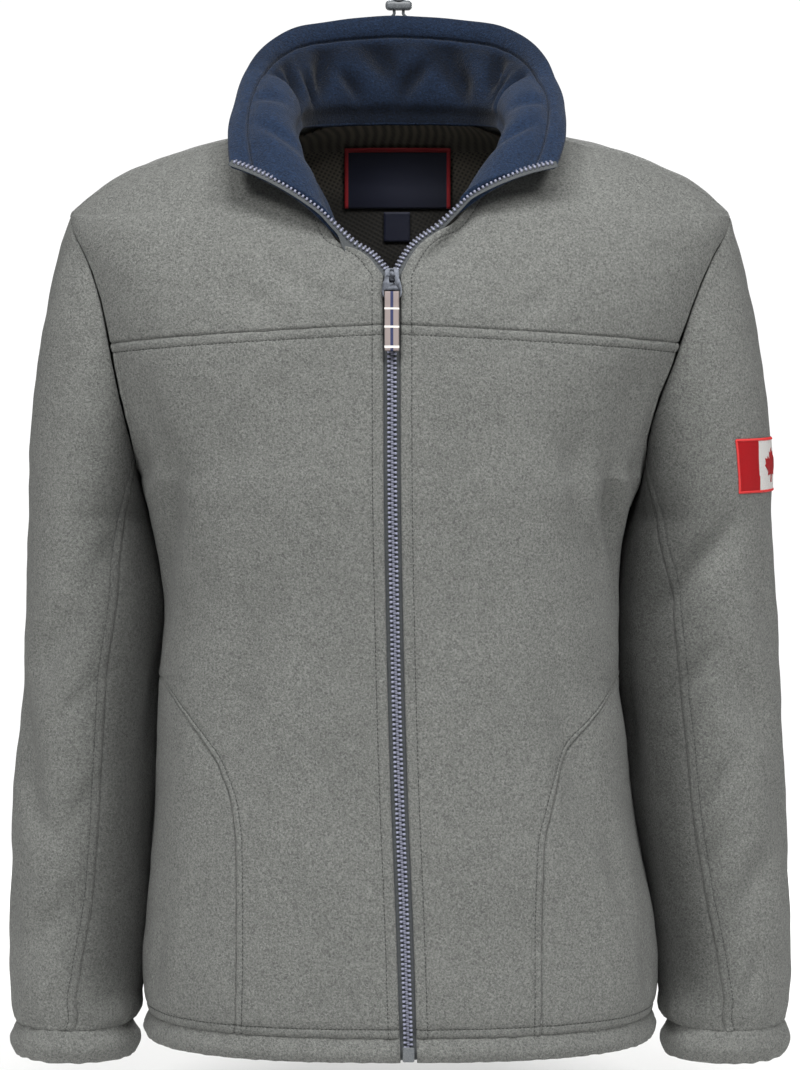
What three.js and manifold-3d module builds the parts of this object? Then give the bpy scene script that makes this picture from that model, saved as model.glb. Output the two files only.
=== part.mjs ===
// Men's fleece zip jacket, size large, filled out as if worn, with its stand collar open.
// Units are millimetres. +Z is up, -Y is the front and +X is the wearer's left.
// The origin is the middle of the neck opening, level with the two shoulder-neck points.
import * as THREE from 'three';
import { mergeVertices } from 'three/addons/utils/BufferGeometryUtils.js';
import Module from 'manifold-3d';

const wasm = await Module();
wasm.setup();

// Driving dimensions
const CLOTH = 2.6; // one layer of fleece
const COLLAR_CLOTH = 4.4; // outer and inner collar together
const CASING_CLOTH = 4.6; // turned-up hem or cuff round its elastic
const LINING_CLOTH = 1.2;
const SEAM_GAP = 0.6;
const ARMHOLE_GAP = 1.1;
const HEM_BOTTOM = -703;
const HEM_SEAM = -684;
const ARMPIT = -270;
const SHOULDER = -70;
const YOKE_SEAM = -153;
const YOKE_DROP = -15; // from the zip to the armhole
const YOKE_TOP = -4;
const NECK_RISE = 8; // of the back neck over the shoulder-neck points
const ZIP_HALF = 6.2; // from the zip's middle to a front edge
const ZIP_OPEN_AT = -116;
const ZIP_ON_COLLAR = COLLAR_CLOTH + 5.2; // from the collar's outer face to the zip's line
const CUFF_SEAM = -694;
const CUFF_BOTTOM = -721;
const SLEEVE_HEAD_END = -300;
const SLEEVE_HEAD_BULGE = 9;
const ARMHOLE_FRONT = 62;
const ARMHOLE_BACK = 70;
const ARMHOLE_SPREAD = 26; // how far past the armhole the chest's curve would run on
const COLLAR_CASING = 0.78; // where the drawcord casing starts, as a share of the collar's height
const LINING_HALF = 118; // half the width of the mesh lining behind the neck
const LINING_IN = CLOTH + 1.2; // how far in from the back's outer face
const LABEL_IN = LINING_IN + LINING_CLOTH + 1;
const LINING_ROWS = [-168, -140, -115, -92, -72, -54, -40, -28, -18, -10, -5];
const SLIDER_WIDTH = 10.5;
const SLIDER_LENGTH = 15;
const SLIDER_FRONT = 1.6; // the front plate's face in front of the cloth
const PULL_PIVOT_UP = 0.5;
const PULL_PIVOT_OUT = 3.4;
const PULL_LENGTH = 17;
const PULL_LEAN = 14;
const RIBBON_LENGTH = 40;
const RIBBON_WIDTH = 11;
const LOCK_WIDTH = 21;
const LOCK_HEIGHT = 8;
const LOCK_DEPTH = 8;
const LOCK_X = -1;
const LOCK_Y = 78;
const LOCK_Z = 96;
const CORD = 2.4;
const CORD_BORE = 1.65;
const CORD_SPREAD = 3.6; // half the distance between the drawcord's two legs

// Torso slices: half widths on the wearer's right (x < 0) and left (x > 0), and front and back depths.
const TORSO = [
  { z: -703, right: 196, left: 196, front: 137, back: 119 },
  { z: -695, right: 199, left: 199, front: 140, back: 122 },
  { z: -684, right: 195, left: 195, front: 137, back: 118 },
  { z: -670, right: 198, left: 198, front: 140, back: 121 },
  { z: -645, right: 199, left: 199, front: 140, back: 120 },
  { z: -608, right: 196, left: 196, front: 138, back: 115 },
  { z: -560, right: 193, left: 187, front: 136, back: 110 },
  { z: -520, right: 190, left: 180, front: 134, back: 106 },
  { z: -470, right: 188, left: 175, front: 133, back: 103 },
  { z: -423, right: 186, left: 169, front: 133, back: 103 },
  { z: -370, right: 182, left: 169, front: 134, back: 105 },
  { z: -335, right: 186, left: 170, front: 136, back: 109 },
  { z: -300, right: 193, left: 176, front: 138, back: 114 },
  { z: -270, right: 200, left: 187, front: 140, back: 118 },
  { z: -200, right: 200, left: 190, front: 140, back: 122 },
  { z: -155, right: 200, left: 190, front: 136, back: 122 },
  { z: -120, right: 200, left: 190, front: 126, back: 119 },
  { z: -100, right: 230, left: 230, front: 116, back: 115 },
  { z: -70, right: 253, left: 253, front: 98, back: 109 },
  { z: -62, right: 246, left: 246, front: 93, back: 107 },
  { z: -53, right: 236, left: 236, front: 87, back: 104 },
  { z: -43, right: 222, left: 222, front: 80, back: 101 },
  { z: -34, right: 203, left: 203, front: 72, back: 97 },
  { z: -24, right: 178, left: 178, front: 62, back: 91 },
  { z: -16, right: 150, left: 150, front: 52, back: 84 },
  { z: -10, right: 124, left: 124, front: 43, back: 77 },
  { z: -4, right: 97, left: 97, front: 33, back: 68 },
  { z: 0, right: 80, left: 80, front: 25, back: 62 },
];
// How square a slice is: 2 is an ellipse.
const SQUARE_BODY = 2.5;
const SQUARE_SHOULDER = 2.2;

// The armhole's distance from the middle at each height.
const ARMHOLE = [
  { z: -270, right: 200, left: 187 },
  { z: -243, right: 204, left: 188 },
  { z: -216, right: 210, left: 194 },
  { z: -181, right: 217, left: 207 },
  { z: -138, right: 226, left: 222 },
  { z: -104, right: 238, left: 237 },
  { z: -83, right: 249, left: 249 },
  { z: -70, right: 253, left: 253 },
];

// The front edge above the zipped part: out to the front end of the collar and up round the neck.
const FRONT_EDGE = {
  right: [
    { z: -116, x: 12.4 },
    { z: -110.7, x: 16.4 },
    { z: -104.4, x: 21.3 },
    { z: -99, x: 28 },
    { z: -96, x: 34 },
    { z: -93.5, x: 42 },
    { z: -89, x: 48 },
    { z: -60, x: 61 },
    { z: -36, x: 74 },
    { z: -14, x: 83 },
    { z: -4, x: 82 },
  ],
  left: [
    { z: -116, x: 0.2 },
    { z: -108, x: 4.2 },
    { z: -97, x: 11 },
    { z: -88.8, x: 19.6 },
    { z: -82.6, x: 29 },
    { z: -79, x: 36 },
    { z: -75, x: 41 },
    { z: -53, x: 57 },
    { z: -32, x: 74 },
    { z: -12, x: 83 },
    { z: -4, x: 82 },
  ],
};
// The height at which the collar starts on each side.
const COLLAR_START = { right: -90, left: -76 };
// The zip's line drifts towards the wearer's left as it goes down.
const ZIP_LINE = [
  { z: -703, x: 6.6 },
  { z: -600, x: 3.4 },
  { z: -500, x: -0.6 },
  { z: -400, x: -3.4 },
  { z: -250, x: -5.8 },
  { z: -116, x: -6 },
];
// The teeth of the open part, from where the two halves part to the collar's front edge.
const ZIP_OPEN = {
  right: [
    { x: -6.25, z: -116 },
    { x: -7.6, z: -111.5 },
    { x: -11.6, z: -107 },
    { x: -17, z: -100.5 },
    { x: -24.4, z: -95 },
    { x: -31.5, z: -91.5 },
  ],
  left: [
    { x: -5.75, z: -116 },
    { x: -4.6, z: -111.5 },
    { x: -1.2, z: -105 },
    { x: 6, z: -94 },
    { x: 15.4, z: -85.4 },
    { x: 25.4, z: -79 },
  ],
};
// The curved seam between front and side panel.
const CURVED_SEAM = [
  { z: -703, right: 125, left: 105 },
  { z: -679, right: 124, left: 106 },
  { z: -629, right: 123, left: 107 },
  { z: -581, right: 123, left: 107.5 },
  { z: -543, right: 123.5, left: 108.5 },
  { z: -513, right: 127, left: 115 },
  { z: -485, right: 138, left: 124 },
  { z: -462, right: 152, left: 137 },
  { z: -440, right: 169, left: 155 },
  { z: -421, right: 184, left: 168 },
];
const SIDE_PANEL_TOP = -424;
const LOW_ROWS = [-684, -662, -625, -580, -543, -514, -491, -471, -454, -439, -424, -385, -340, -303];
const SHOULDER_ROWS = [-61, -48, -34, -21, -12, -4, 0];
// The shoulder seam lies in front of the ridge, most near the neck. Angles are from the front.
const SHOULDER_SEAM = [
  { z: -70, angle: 90 },
  { z: -62, angle: 86 },
  { z: -43, angle: 80 },
  { z: -16, angle: 73 },
  { z: -4, angle: 74 },
  { z: 0, angle: 80 },
];

// Sleeve rings from the cuff up to the sleeve head: the outer edge, the gap between the inner
// edge and the torso's side, and the front and back.
const SLEEVE = [
  { z: -721, outer: 298, gap: 11, front: 50, back: 16 },
  { z: -708, outer: 304, gap: 6, front: 57, back: 22 },
  { z: -694, outer: 299.5, gap: 8, front: 54, back: 19 },
  { z: -678, outer: 303, gap: 5, front: 58, back: 23 },
  { z: -655, outer: 304.5, gap: 3, front: 60, back: 27 },
  { z: -616, outer: 304, gap: 1.8, front: 60, back: 33 },
  { z: -569, outer: 302, gap: 1.3, front: 60, back: 39 },
  { z: -523, outer: 300, gap: 1.3, front: 60, back: 45 },
  { z: -476, outer: 297.5, gap: 1.3, front: 60, back: 51 },
  { z: -430, outer: 295, gap: 1.3, front: 60, back: 57 },
  { z: -382, outer: 292, gap: 1.3, front: 61, back: 62 },
  { z: -335, outer: 289, gap: 1.3, front: 62, back: 66 },
  { z: -300, outer: 286.5, gap: 1.8, front: 62, back: 69 },
];
// The two sleeve seams, as angles from the outside of the arm towards the front.
const SLEEVE_SEAMS = [
  { z: -721, front: 94, back: -106 },
  { z: -660, front: 97, back: -108 },
  { z: -580, front: 106, back: -110 },
  { z: -420, front: 108, back: -112 },
  { z: -345, front: 116, back: -116 },
  { z: -300, front: 130, back: -120 },
];
const SLEEVE_SEAM_AT_ARMHOLE = { front: 148, back: -125 };

// The open collar's rim, from the wearer's right front corner round the back to the left one.
const COLLAR_RIM = [
  { at: 0, x: -127, y: -98, z: -39, belly: 9 },
  { at: 0.1, x: -128, y: -64, z: -14, belly: 11 },
  { at: 0.2, x: -124, y: -26, z: 11, belly: 10 },
  { at: 0.28, x: -119, y: 8, z: 35, belly: 9 },
  { at: 0.35, x: -107, y: 37, z: 58, belly: 7 },
  { at: 0.42, x: -74, y: 62, z: 78, belly: 4 },
  { at: 0.5, x: 0, y: 76, z: 86, belly: 3 },
  { at: 0.58, x: 74, y: 62, z: 78, belly: 4 },
  { at: 0.65, x: 107, y: 37, z: 58, belly: 7 },
  { at: 0.72, x: 118, y: 8, z: 35, belly: 9 },
  { at: 0.8, x: 123, y: -26, z: 11, belly: 10 },
  { at: 0.9, x: 123, y: -62, z: -12, belly: 10 },
  { at: 1, x: 116, y: -96, z: -40, belly: 8 },
];

// Soft troughs pressed into the torso: angle from the front, height, half length, half width, lean, depth.
const TORSO_FOLDS = [
  { angle: -62, z: -300, long: 70, wide: 15, lean: 34, deep: 5 },
  { angle: 64, z: -296, long: 62, wide: 13, lean: -40, deep: 7 },
  { angle: 40, z: -262, long: 55, wide: 12, lean: -28, deep: 4 },
  { angle: -36, z: -430, long: 90, wide: 20, lean: 12, deep: 4 },
  { angle: 44, z: -480, long: 80, wide: 18, lean: -15, deep: 4 },
  { angle: -150, z: -330, long: 90, wide: 20, lean: 22, deep: 5 },
  { angle: 146, z: -350, long: 80, wide: 18, lean: -18, deep: 5 },
  { angle: 176, z: -520, long: 110, wide: 26, lean: 5, deep: 4 },
];
const SLEEVE_FOLDS = {
  right: [
    { angle: 62, z: -395, long: 60, wide: 14, lean: 30, deep: 5 },
    { angle: 30, z: -470, long: 70, wide: 15, lean: -24, deep: 4 },
    { angle: 70, z: -610, long: 45, wide: 13, lean: 35, deep: 4 },
    { angle: -70, z: -430, long: 60, wide: 16, lean: 30, deep: 5 },
  ],
  left: [
    { angle: 88, z: -330, long: 48, wide: 12, lean: -38, deep: 5 },
    { angle: 52, z: -445, long: 60, wide: 14, lean: 28, deep: 5 },
    { angle: 60, z: -580, long: 50, wide: 14, lean: -30, deep: 4 },
    { angle: -66, z: -450, long: 66, wide: 16, lean: -26, deep: 5 },
  ],
};

const PAINT = {
  fleece: { color: '#7f7e79', roughness: 0.95, metalness: 0 },
  collar: { color: '#2d3e58', roughness: 0.95, metalness: 0 },
  lining: { color: '#45413f', roughness: 0.9, metalness: 0 },
  tape: { color: '#6d7180', roughness: 0.8, metalness: 0 },
  label: { color: '#14182e', roughness: 0.8, metalness: 0 },
  patch: { color: '#c01c28', roughness: 0.7, metalness: 0 },
  ribbon: { color: '#a8998f', roughness: 0.8, metalness: 0 },
  metal: { color: '#8f9096', roughness: 0.35, metalness: 1 },
  plastic: { color: '#6e706f', roughness: 0.45, metalness: 0 },
};

const rad = (degrees) => (degrees * Math.PI) / 180;
const deg = (radians) => (radians * 180) / Math.PI;
const mix = (a, b, t) => a + (b - a) * t;
const clamp = (value, low, high) => Math.min(high, Math.max(low, value));
const ease = (t) => t * t * (3 - 2 * t);

// Read a column of a table at any height, smoothly and without overshoot.
function read(table, key, column, at) {
  const last = table.length - 1;
  let k = 0;
  while (k < last - 1 && table[k + 1][key] < at) {
    k += 1;
  }
  const step = (i) => (table[i + 1][column] - table[i][column]) / (table[i + 1][key] - table[i][key]);
  const slope = (i) => {
    if (i === 0) {
      return step(0);
    }
    if (i === last) {
      return step(last - 1);
    }
    const before = step(i - 1);
    const after = step(i);
    return before * after <= 0 ? 0 : (2 * before * after) / (before + after);
  };
  const width = table[k + 1][key] - table[k][key];
  const t = clamp((at - table[k][key]) / width, 0, 1);
  const start = table[k][column];
  const end = table[k + 1][column];
  const bend = t * (1 - t) * (1 - t) * slope(k) - t * t * (1 - t) * slope(k + 1);
  return mix(start, end, ease(t)) + width * bend;
}

// Even steps between two values.
function steps(from, to, count) {
  return Array.from({ length: count + 1 }, (_, i) => mix(from, to, i / count));
}

// Even steps with one more beyond each end.
function widerSteps(from, to, count) {
  return Array.from({ length: count + 3 }, (_, i) => mix(from, to, (i - 1) / count));
}

function foldAt(folds, angle, z, radius) {
  let depth = 0;
  for (const fold of folds) {
    const turn = ((angle - fold.angle + 540) % 360) - 180;
    const side = rad(turn) * radius;
    const up = z - fold.z;
    const lean = rad(fold.lean);
    const along = up * Math.cos(lean) + side * Math.sin(lean);
    const across = side * Math.cos(lean) - up * Math.sin(lean);
    depth += fold.deep * Math.exp(-((along / fold.long) ** 2) * 2 - (across / fold.wide) ** 2);
  }
  return depth;
}

// How open the armhole is at a height, from 0 at its two ends to 1 in the middle.
function armholeOpen(z) {
  const share = clamp((z - ARMPIT) / (SHOULDER - ARMPIT), 0, 1) * 2 - 1;
  return (1 - Math.abs(share) ** SQUARE_SHOULDER) ** (1 / SQUARE_SHOULDER);
}

function slice(z, side, facing) {
  const inArmhole = z > ARMPIT && z < SHOULDER;
  const open = inArmhole ? armholeOpen(z) : 0;
  const square = mix(SQUARE_BODY, SQUARE_SHOULDER, clamp((z - ARMPIT) / (SHOULDER - ARMPIT), 0, 1));
  const edge = inArmhole ? read(ARMHOLE, 'z', side, z) : read(TORSO, 'z', side, z);
  const reach = edge + ARMHOLE_SPREAD * open ** 3;
  const depth = read(TORSO, 'z', facing, z);
  const hole = (facing === 'front' ? ARMHOLE_FRONT : ARMHOLE_BACK) * open;
  const limit = Math.asin((edge / reach) ** (square / 2));
  const floor = Math.max(0, Math.cos(limit)) ** (2 / square);
  return { square, reach, depth, hole, limit: deg(limit), floor: open > 0 ? floor : 0 };
}

// A point of the torso's outer face. The angle runs from the front, minus towards the right side.
function torsoPoint(z, angle) {
  const side = angle < 0 ? 'right' : 'left';
  const turn = Math.abs(angle);
  const facing = turn <= 90 ? 'front' : 'back';
  const cut = slice(z, side, facing);
  const phi = rad(turn <= 90 ? turn : 180 - turn);
  const across = Math.max(0, Math.sin(phi)) ** (2 / cut.square);
  const along = Math.max(0, Math.cos(phi)) ** (2 / cut.square);
  const out = cut.hole + ((cut.depth - cut.hole) * (along - cut.floor)) / (1 - cut.floor);
  const rise = facing === 'back' ? NECK_RISE * Math.cos(phi) * ease(clamp((z + 60) / 60, 0, 1)) : 0;
  const x = Math.sign(angle || 1) * cut.reach * across;
  return new THREE.Vector3(x, facing === 'front' ? -out : out, z + rise);
}

function angleAtX(z, x) {
  const side = x < 0 ? 'right' : 'left';
  const cut = slice(z, side, 'front');
  return Math.sign(x) * deg(Math.asin(clamp((Math.abs(x) / cut.reach) ** (cut.square / 2), 0, 1)));
}

// The torso's side limit in front: side seam, armhole or shoulder seam.
function frontLimit(z, side) {
  if (z >= SHOULDER) {
    const gap = deg((SEAM_GAP * 0.5) / read(TORSO, 'z', 'front', z));
    return read(SHOULDER_SEAM, 'z', 'angle', z) - gap;
  }
  const cut = slice(z, side, 'front');
  return z > ARMPIT ? cut.limit - 0.01 : 90 - deg((SEAM_GAP / 2 / cut.depth) ** (cut.square / 2));
}

function backLimit(z, side) {
  if (z >= SHOULDER) {
    const gap = deg((SEAM_GAP * 0.5) / read(TORSO, 'z', 'front', z));
    return 180 - read(SHOULDER_SEAM, 'z', 'angle', z) - gap;
  }
  const cut = slice(z, side, 'back');
  return z > ARMPIT ? cut.limit - 0.01 : 90 - deg((SEAM_GAP / 2 / cut.depth) ** (cut.square / 2));
}

function frontEdgeX(z, side) {
  const sign = side === 'right' ? -1 : 1;
  if (z > ZIP_OPEN_AT) {
    return sign * read(FRONT_EDGE[side], 'z', 'x', z);
  }
  return read(ZIP_LINE, 'z', 'x', z) + sign * ZIP_HALF;
}

// Stitch a grid of points into a closed wall: the grid is its outer face, the wall grows inwards.
// An open grid has a spare column at each end, which only steadies the normals at a seam.
function wall(points, thickness, options = {}) {
  const { closed = false, inside, push, armhole = false } = options;
  const grid = closed ? points : points.map((line) => line.slice(1, -1));
  const columns = grid[0].length;
  const rows = grid.length;
  const at = (r, c) => {
    const line = points[clamp(r, 0, rows - 1)];
    return closed ? line[(c + columns) % columns] : line[c + 1];
  };
  const normals = grid.map((line, r) =>
    line.map((_, c) => {
      const along = at(r, c + 1).clone().sub(at(r, c - 1));
      const up = at(r + 1, c).clone().sub(at(r - 1, c));
      const normal = along.cross(up).normalize();
      if (armhole && r === 0) {
        normal.setX(0).normalize();
      }
      return normal;
    }),
  );
  let vote = 0;
  grid.forEach((line, r) =>
    line.forEach((point, c) => {
      vote += Math.sign(normals[r][c].dot(point.clone().sub(inside(point))));
    }),
  );
  const sign = vote < 0 ? -1 : 1;
  const positions = [];
  const depth = (r, c) => (typeof thickness === 'function' ? thickness(r / (rows - 1), c / columns) : thickness);
  grid.forEach((line, r) =>
    line.forEach((point, c) => {
      const out = push ? push(r, c, point) : 0;
      positions.push(point.clone().addScaledVector(normals[r][c], sign * out));
    }),
  );
  grid.forEach((line, r) =>
    line.forEach((point, c) => {
      const face = positions[r * columns + c];
      positions.push(face.clone().addScaledVector(normals[r][c], -sign * depth(r, c)));
    }),
  );
  const outer = (r, c) => r * columns + ((c + columns) % columns);
  const inner = (r, c) => rows * columns + outer(r, c);
  const triangles = [];
  const quad = (a, b, c, d) => {
    if (sign > 0) {
      triangles.push(a, b, c, a, c, d);
    } else {
      triangles.push(a, c, b, a, d, c);
    }
  };
  const spans = closed ? columns : columns - 1;
  for (let r = 0; r < rows - 1; r += 1) {
    for (let c = 0; c < spans; c += 1) {
      quad(outer(r, c), outer(r, c + 1), outer(r + 1, c + 1), outer(r + 1, c));
      quad(inner(r, c), inner(r + 1, c), inner(r + 1, c + 1), inner(r, c + 1));
    }
  }
  for (let c = 0; c < spans; c += 1) {
    quad(outer(0, c), inner(0, c), inner(0, c + 1), outer(0, c + 1));
    quad(outer(rows - 1, c), outer(rows - 1, c + 1), inner(rows - 1, c + 1), inner(rows - 1, c));
  }
  for (let r = 0; r < rows - 1 && !closed; r += 1) {
    quad(outer(r, 0), outer(r + 1, 0), inner(r + 1, 0), inner(r, 0));
    const end = columns - 1;
    quad(outer(r, end), inner(r, end), inner(r + 1, end), outer(r + 1, end));
  }
  return fromTriangles(positions, triangles);
}

function fromTriangles(positions, triangles) {
  const geometry = new THREE.BufferGeometry();
  geometry.setAttribute(
    'position',
    new THREE.Float32BufferAttribute(positions.flatMap((p) => [p.x, p.y, p.z]), 3),
  );
  geometry.setIndex(triangles);
  geometry.computeVertexNormals();
  return geometry;
}

function part(name, geometry, paint) {
  const mesh = new THREE.Mesh(geometry, new THREE.MeshStandardMaterial({ name: paint, ...PAINT[paint] }));
  mesh.name = name;
  return mesh;
}

// Heights of rows, closer together at the two ends of the armhole.
function rowHeights(from, to) {
  const middle = (ARMPIT + SHOULDER) / 2;
  const half = (SHOULDER - ARMPIT) / 2;
  const beside = steps(0, 180, 9).map((a) => middle - half * Math.cos(rad(a)));
  const all = [...LOW_ROWS, ...beside, ...SHOULDER_ROWS];
  const inner = all.filter((z) => z > from + 3 && z < to - 1.4);
  return [from, ...inner, to];
}

const axisPoint = (point) => new THREE.Vector3(0, 0, Math.min(point.z, -60) - 20);

function yokeSlant(rowZ, share) {
  const near = clamp(1 - Math.abs(rowZ - YOKE_SEAM) / 70, 0, 1);
  return YOKE_DROP * share * ease(near);
}

// A panel of the torso between two edges, each given as an angle for a height.
function torsoPanel(name, rows, columns, edges, options = {}) {
  const { thickness = CLOTH, paint = 'fleece', slant = false } = options;
  const angles = [];
  const grid = rows.map((rowZ, r) => {
    angles[r] = [];
    return widerSteps(0, 1, columns).map((share, c) => {
      const z = rowZ + (slant ? yokeSlant(rowZ, share) : 0);
      const [from, to] = edges(z);
      const angle = mix(from, to, share);
      angles[r][c] = angle;
      return torsoPoint(z, angle);
    });
  });
  const push = (r, c, point) => -foldAt(TORSO_FOLDS, angles[r][c + 1], point.z, 150);
  return part(name, wall(grid, thickness, { inside: axisPoint, push }), paint);
}

// The angle of the curved seam, or of the torso's side limit above it.
function curvedSeamAngle(z, side, gap = 0) {
  const sign = side === 'right' ? -1 : 1;
  const limit = frontLimit(z, side);
  if (z > SIDE_PANEL_TOP + 1) {
    return sign * limit;
  }
  const x = read(CURVED_SEAM, 'z', side, z) + gap;
  return sign * Math.min(limit, Math.abs(angleAtX(z, sign * x)));
}

function frontPanels(side) {
  const sign = side === 'right' ? -1 : 1;
  const half = SEAM_GAP / 2;
  const zipEdge = (z) => angleAtX(z, frontEdgeX(z, side));
  const yoke = torsoPanel(
    `yoke_${side}`,
    rowHeights(YOKE_SEAM + half, YOKE_TOP),
    10,
    (z) => [zipEdge(z), sign * frontLimit(z, side)],
    { slant: true },
  );
  const front = torsoPanel(
    `front_${side}`,
    rowHeights(HEM_SEAM + half, YOKE_SEAM - half),
    10,
    (z) => [zipEdge(z), curvedSeamAngle(z, side)],
    { slant: true },
  );
  const sidePanel = torsoPanel(
    `side_panel_${side}`,
    rowHeights(HEM_SEAM + half, SIDE_PANEL_TOP),
    5,
    (z) => [curvedSeamAngle(z, side, SEAM_GAP), sign * frontLimit(z, side)],
  );
  return [yoke, front, sidePanel];
}

function backPanel() {
  const grid = [];
  const angles = [];
  const rows = rowHeights(HEM_SEAM + SEAM_GAP / 2, 0);
  rows.forEach((z, r) => {
    const from = -backLimit(z, 'right');
    const to = backLimit(z, 'left');
    const turns = widerSteps(-1, 1, 18).map((share) => (share < 0 ? -share * from : share * to));
    angles[r] = turns.map((b) => (b < 0 ? -180 - b : 180 - b));
    grid[r] = angles[r].map((angle) => torsoPoint(z, angle));
  });
  const push = (r, c, point) => -foldAt(TORSO_FOLDS, angles[r][c + 1], point.z, 150);
  return part('back', wall(grid, CLOTH, { inside: axisPoint, push }), 'fleece');
}

function hemBand() {
  const right = (z) => angleAtX(z, frontEdgeX(z, 'right'));
  const left = (z) => angleAtX(z, frontEdgeX(z, 'left'));
  const rows = [HEM_BOTTOM, -695, HEM_SEAM - SEAM_GAP / 2];
  const grid = rows.map((z) =>
    widerSteps(0, 1, 44).map((share) => {
      const zipRight = 180 + right(z);
      const zipLeft = 180 - left(z);
      const b = mix(-zipRight, zipLeft, share);
      return torsoPoint(z, b < 0 ? -180 - b : 180 - b);
    }),
  );
  return part('hem_band', wall(grid, CASING_CLOTH, { inside: axisPoint }), 'fleece');
}

// Points of the sleeve. A stage up to 1 runs from armhole to arm, and from 1 to 2 down to the cuff.
function sleevePoint(side, stage, angle) {
  const sign = side === 'right' ? -1 : 1;
  if (stage > 1) {
    return armPoint(side, mix(SLEEVE_HEAD_END, CUFF_SEAM, stage - 1), angle);
  }
  const turn = rad(angle);
  const bend = (value) => Math.sign(value) * Math.abs(value) ** (2 / SQUARE_SHOULDER);
  const middle = (ARMPIT + SHOULDER) / 2;
  const z = middle + ((SHOULDER - ARMPIT) / 2) * bend(Math.cos(turn));
  const depth = Math.sin(turn) > 0 ? ARMHOLE_FRONT : ARMHOLE_BACK;
  const x = sign * (read(ARMHOLE, 'z', side, z) + ARMHOLE_GAP);
  const start = new THREE.Vector3(x, -depth * bend(Math.sin(turn)), z);
  const end = armPoint(side, SLEEVE_HEAD_END, angle);
  const point = start.lerp(end, stage);
  const bulge = SLEEVE_HEAD_BULGE * 4 * stage * (1 - stage);
  point.x += sign * bulge * Math.max(0, Math.cos(turn)) ** 0.7;
  point.y -= 0.7 * bulge * Math.sin(turn);
  return point;
}

function innerEdge(side, z) {
  return read(TORSO, 'z', side, Math.max(z, HEM_BOTTOM)) + read(SLEEVE, 'z', 'gap', z);
}

function armPoint(side, z, angle) {
  const sign = side === 'right' ? -1 : 1;
  const outer = read(SLEEVE, 'z', 'outer', z);
  const inner = innerEdge(side, z);
  const turn = rad(angle);
  const depth = read(SLEEVE, 'z', Math.sin(turn) > 0 ? 'front' : 'back', z);
  const x = sign * mix(inner, outer, (1 + Math.cos(turn)) / 2);
  return new THREE.Vector3(x, -depth * Math.sin(turn), z);
}

function armAxis(side) {
  const sign = side === 'right' ? -1 : 1;
  return (point) => {
    const z = clamp(point.z, CUFF_BOTTOM, SLEEVE_HEAD_END);
    const middle = (read(SLEEVE, 'z', 'outer', z) + innerEdge(side, z)) / 2;
    const y = (read(SLEEVE, 'z', 'back', z) - read(SLEEVE, 'z', 'front', z)) / 2;
    return new THREE.Vector3(sign * middle, y, clamp(point.z, CUFF_BOTTOM, -200));
  };
}

function seamAngle(which, stage) {
  if (stage > 1) {
    return read(SLEEVE_SEAMS, 'z', which, mix(SLEEVE_HEAD_END, CUFF_SEAM, stage - 1));
  }
  return mix(SLEEVE_SEAM_AT_ARMHOLE[which], read(SLEEVE_SEAMS, 'z', which, SLEEVE_HEAD_END), stage);
}

function sleevePanels(side) {
  const end = 2 - SEAM_GAP / (SLEEVE_HEAD_END - CUFF_SEAM);
  const stages = [0, 0.08, 0.2, 0.36, 0.56, 0.78, ...steps(1, end, 10)];
  const gap = deg(SEAM_GAP / 2 / 50);
  const make = (name, columns, from, to) => {
    const turns = [];
    const grid = stages.map((stage, r) => {
      turns[r] = widerSteps(from(stage), to(stage), columns);
      return turns[r].map((angle) => sleevePoint(side, stage, angle));
    });
    const push = (r, c, point) => -foldAt(SLEEVE_FOLDS[side], turns[r][c + 1], point.z, 52);
    return part(name, wall(grid, CLOTH, { inside: armAxis(side), push, armhole: true }), 'fleece');
  };
  return [
    make(
      `sleeve_upper_${side}`,
      15,
      (stage) => seamAngle('back', stage) + gap,
      (stage) => seamAngle('front', stage) - gap,
    ),
    make(
      `sleeve_under_${side}`,
      9,
      (stage) => seamAngle('front', stage) + gap,
      (stage) => 360 + seamAngle('back', stage) - gap,
    ),
  ];
}

function cuff(side) {
  const rows = [CUFF_BOTTOM, -708, CUFF_SEAM - SEAM_GAP / 2];
  const grid = rows.map((z) => steps(0, 360, 28).slice(0, -1).map((angle) => armPoint(side, z, angle)));
  return part(`cuff_${side}`, wall(grid, CASING_CLOTH, { closed: true, inside: armAxis(side) }), 'fleece');
}

// The neck seam from the right front end round the back to the left front end, at even spacing.
const NECK_SEAM = (() => {
  const points = [];
  for (const z of steps(COLLAR_START.right, YOKE_TOP, 16)) {
    points.push(torsoPoint(z, angleAtX(z, frontEdgeX(z, 'right'))));
  }
  for (const b of steps(-98, 98, 30)) {
    points.push(torsoPoint(0, b < 0 ? -180 - b : 180 - b));
  }
  for (const z of steps(YOKE_TOP, COLLAR_START.left, 16)) {
    points.push(torsoPoint(z, angleAtX(z, frontEdgeX(z, 'left'))));
  }
  return new THREE.CatmullRomCurve3(points, false, 'centripetal');
})();

function collarPoint(share, height) {
  const at = clamp(share, 0, 1);
  const seam = NECK_SEAM.getPointAt(at);
  const rim = new THREE.Vector3(...['x', 'y', 'z'].map((key) => read(COLLAR_RIM, 'at', key, at)));
  const before = NECK_SEAM.getPointAt(clamp(at - 0.01, 0, 1));
  const along = NECK_SEAM.getPointAt(clamp(at + 0.01, 0, 1)).sub(before).normalize();
  const rise = rim.clone().sub(seam);
  const length = rise.length();
  const out = along.clone().cross(rise).normalize().negate();
  const start = seam.clone().addScaledVector(out, -1).addScaledVector(rise, 0.9 / length);
  const belly = read(COLLAR_RIM, 'at', 'belly', at);
  start.lerp(rim, height).addScaledVector(out, -belly * 4 * height * (1 - height));
  return share === at ? start : start.addScaledVector(along, (share - at) * NECK_SEAM.getLength());
}

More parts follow.
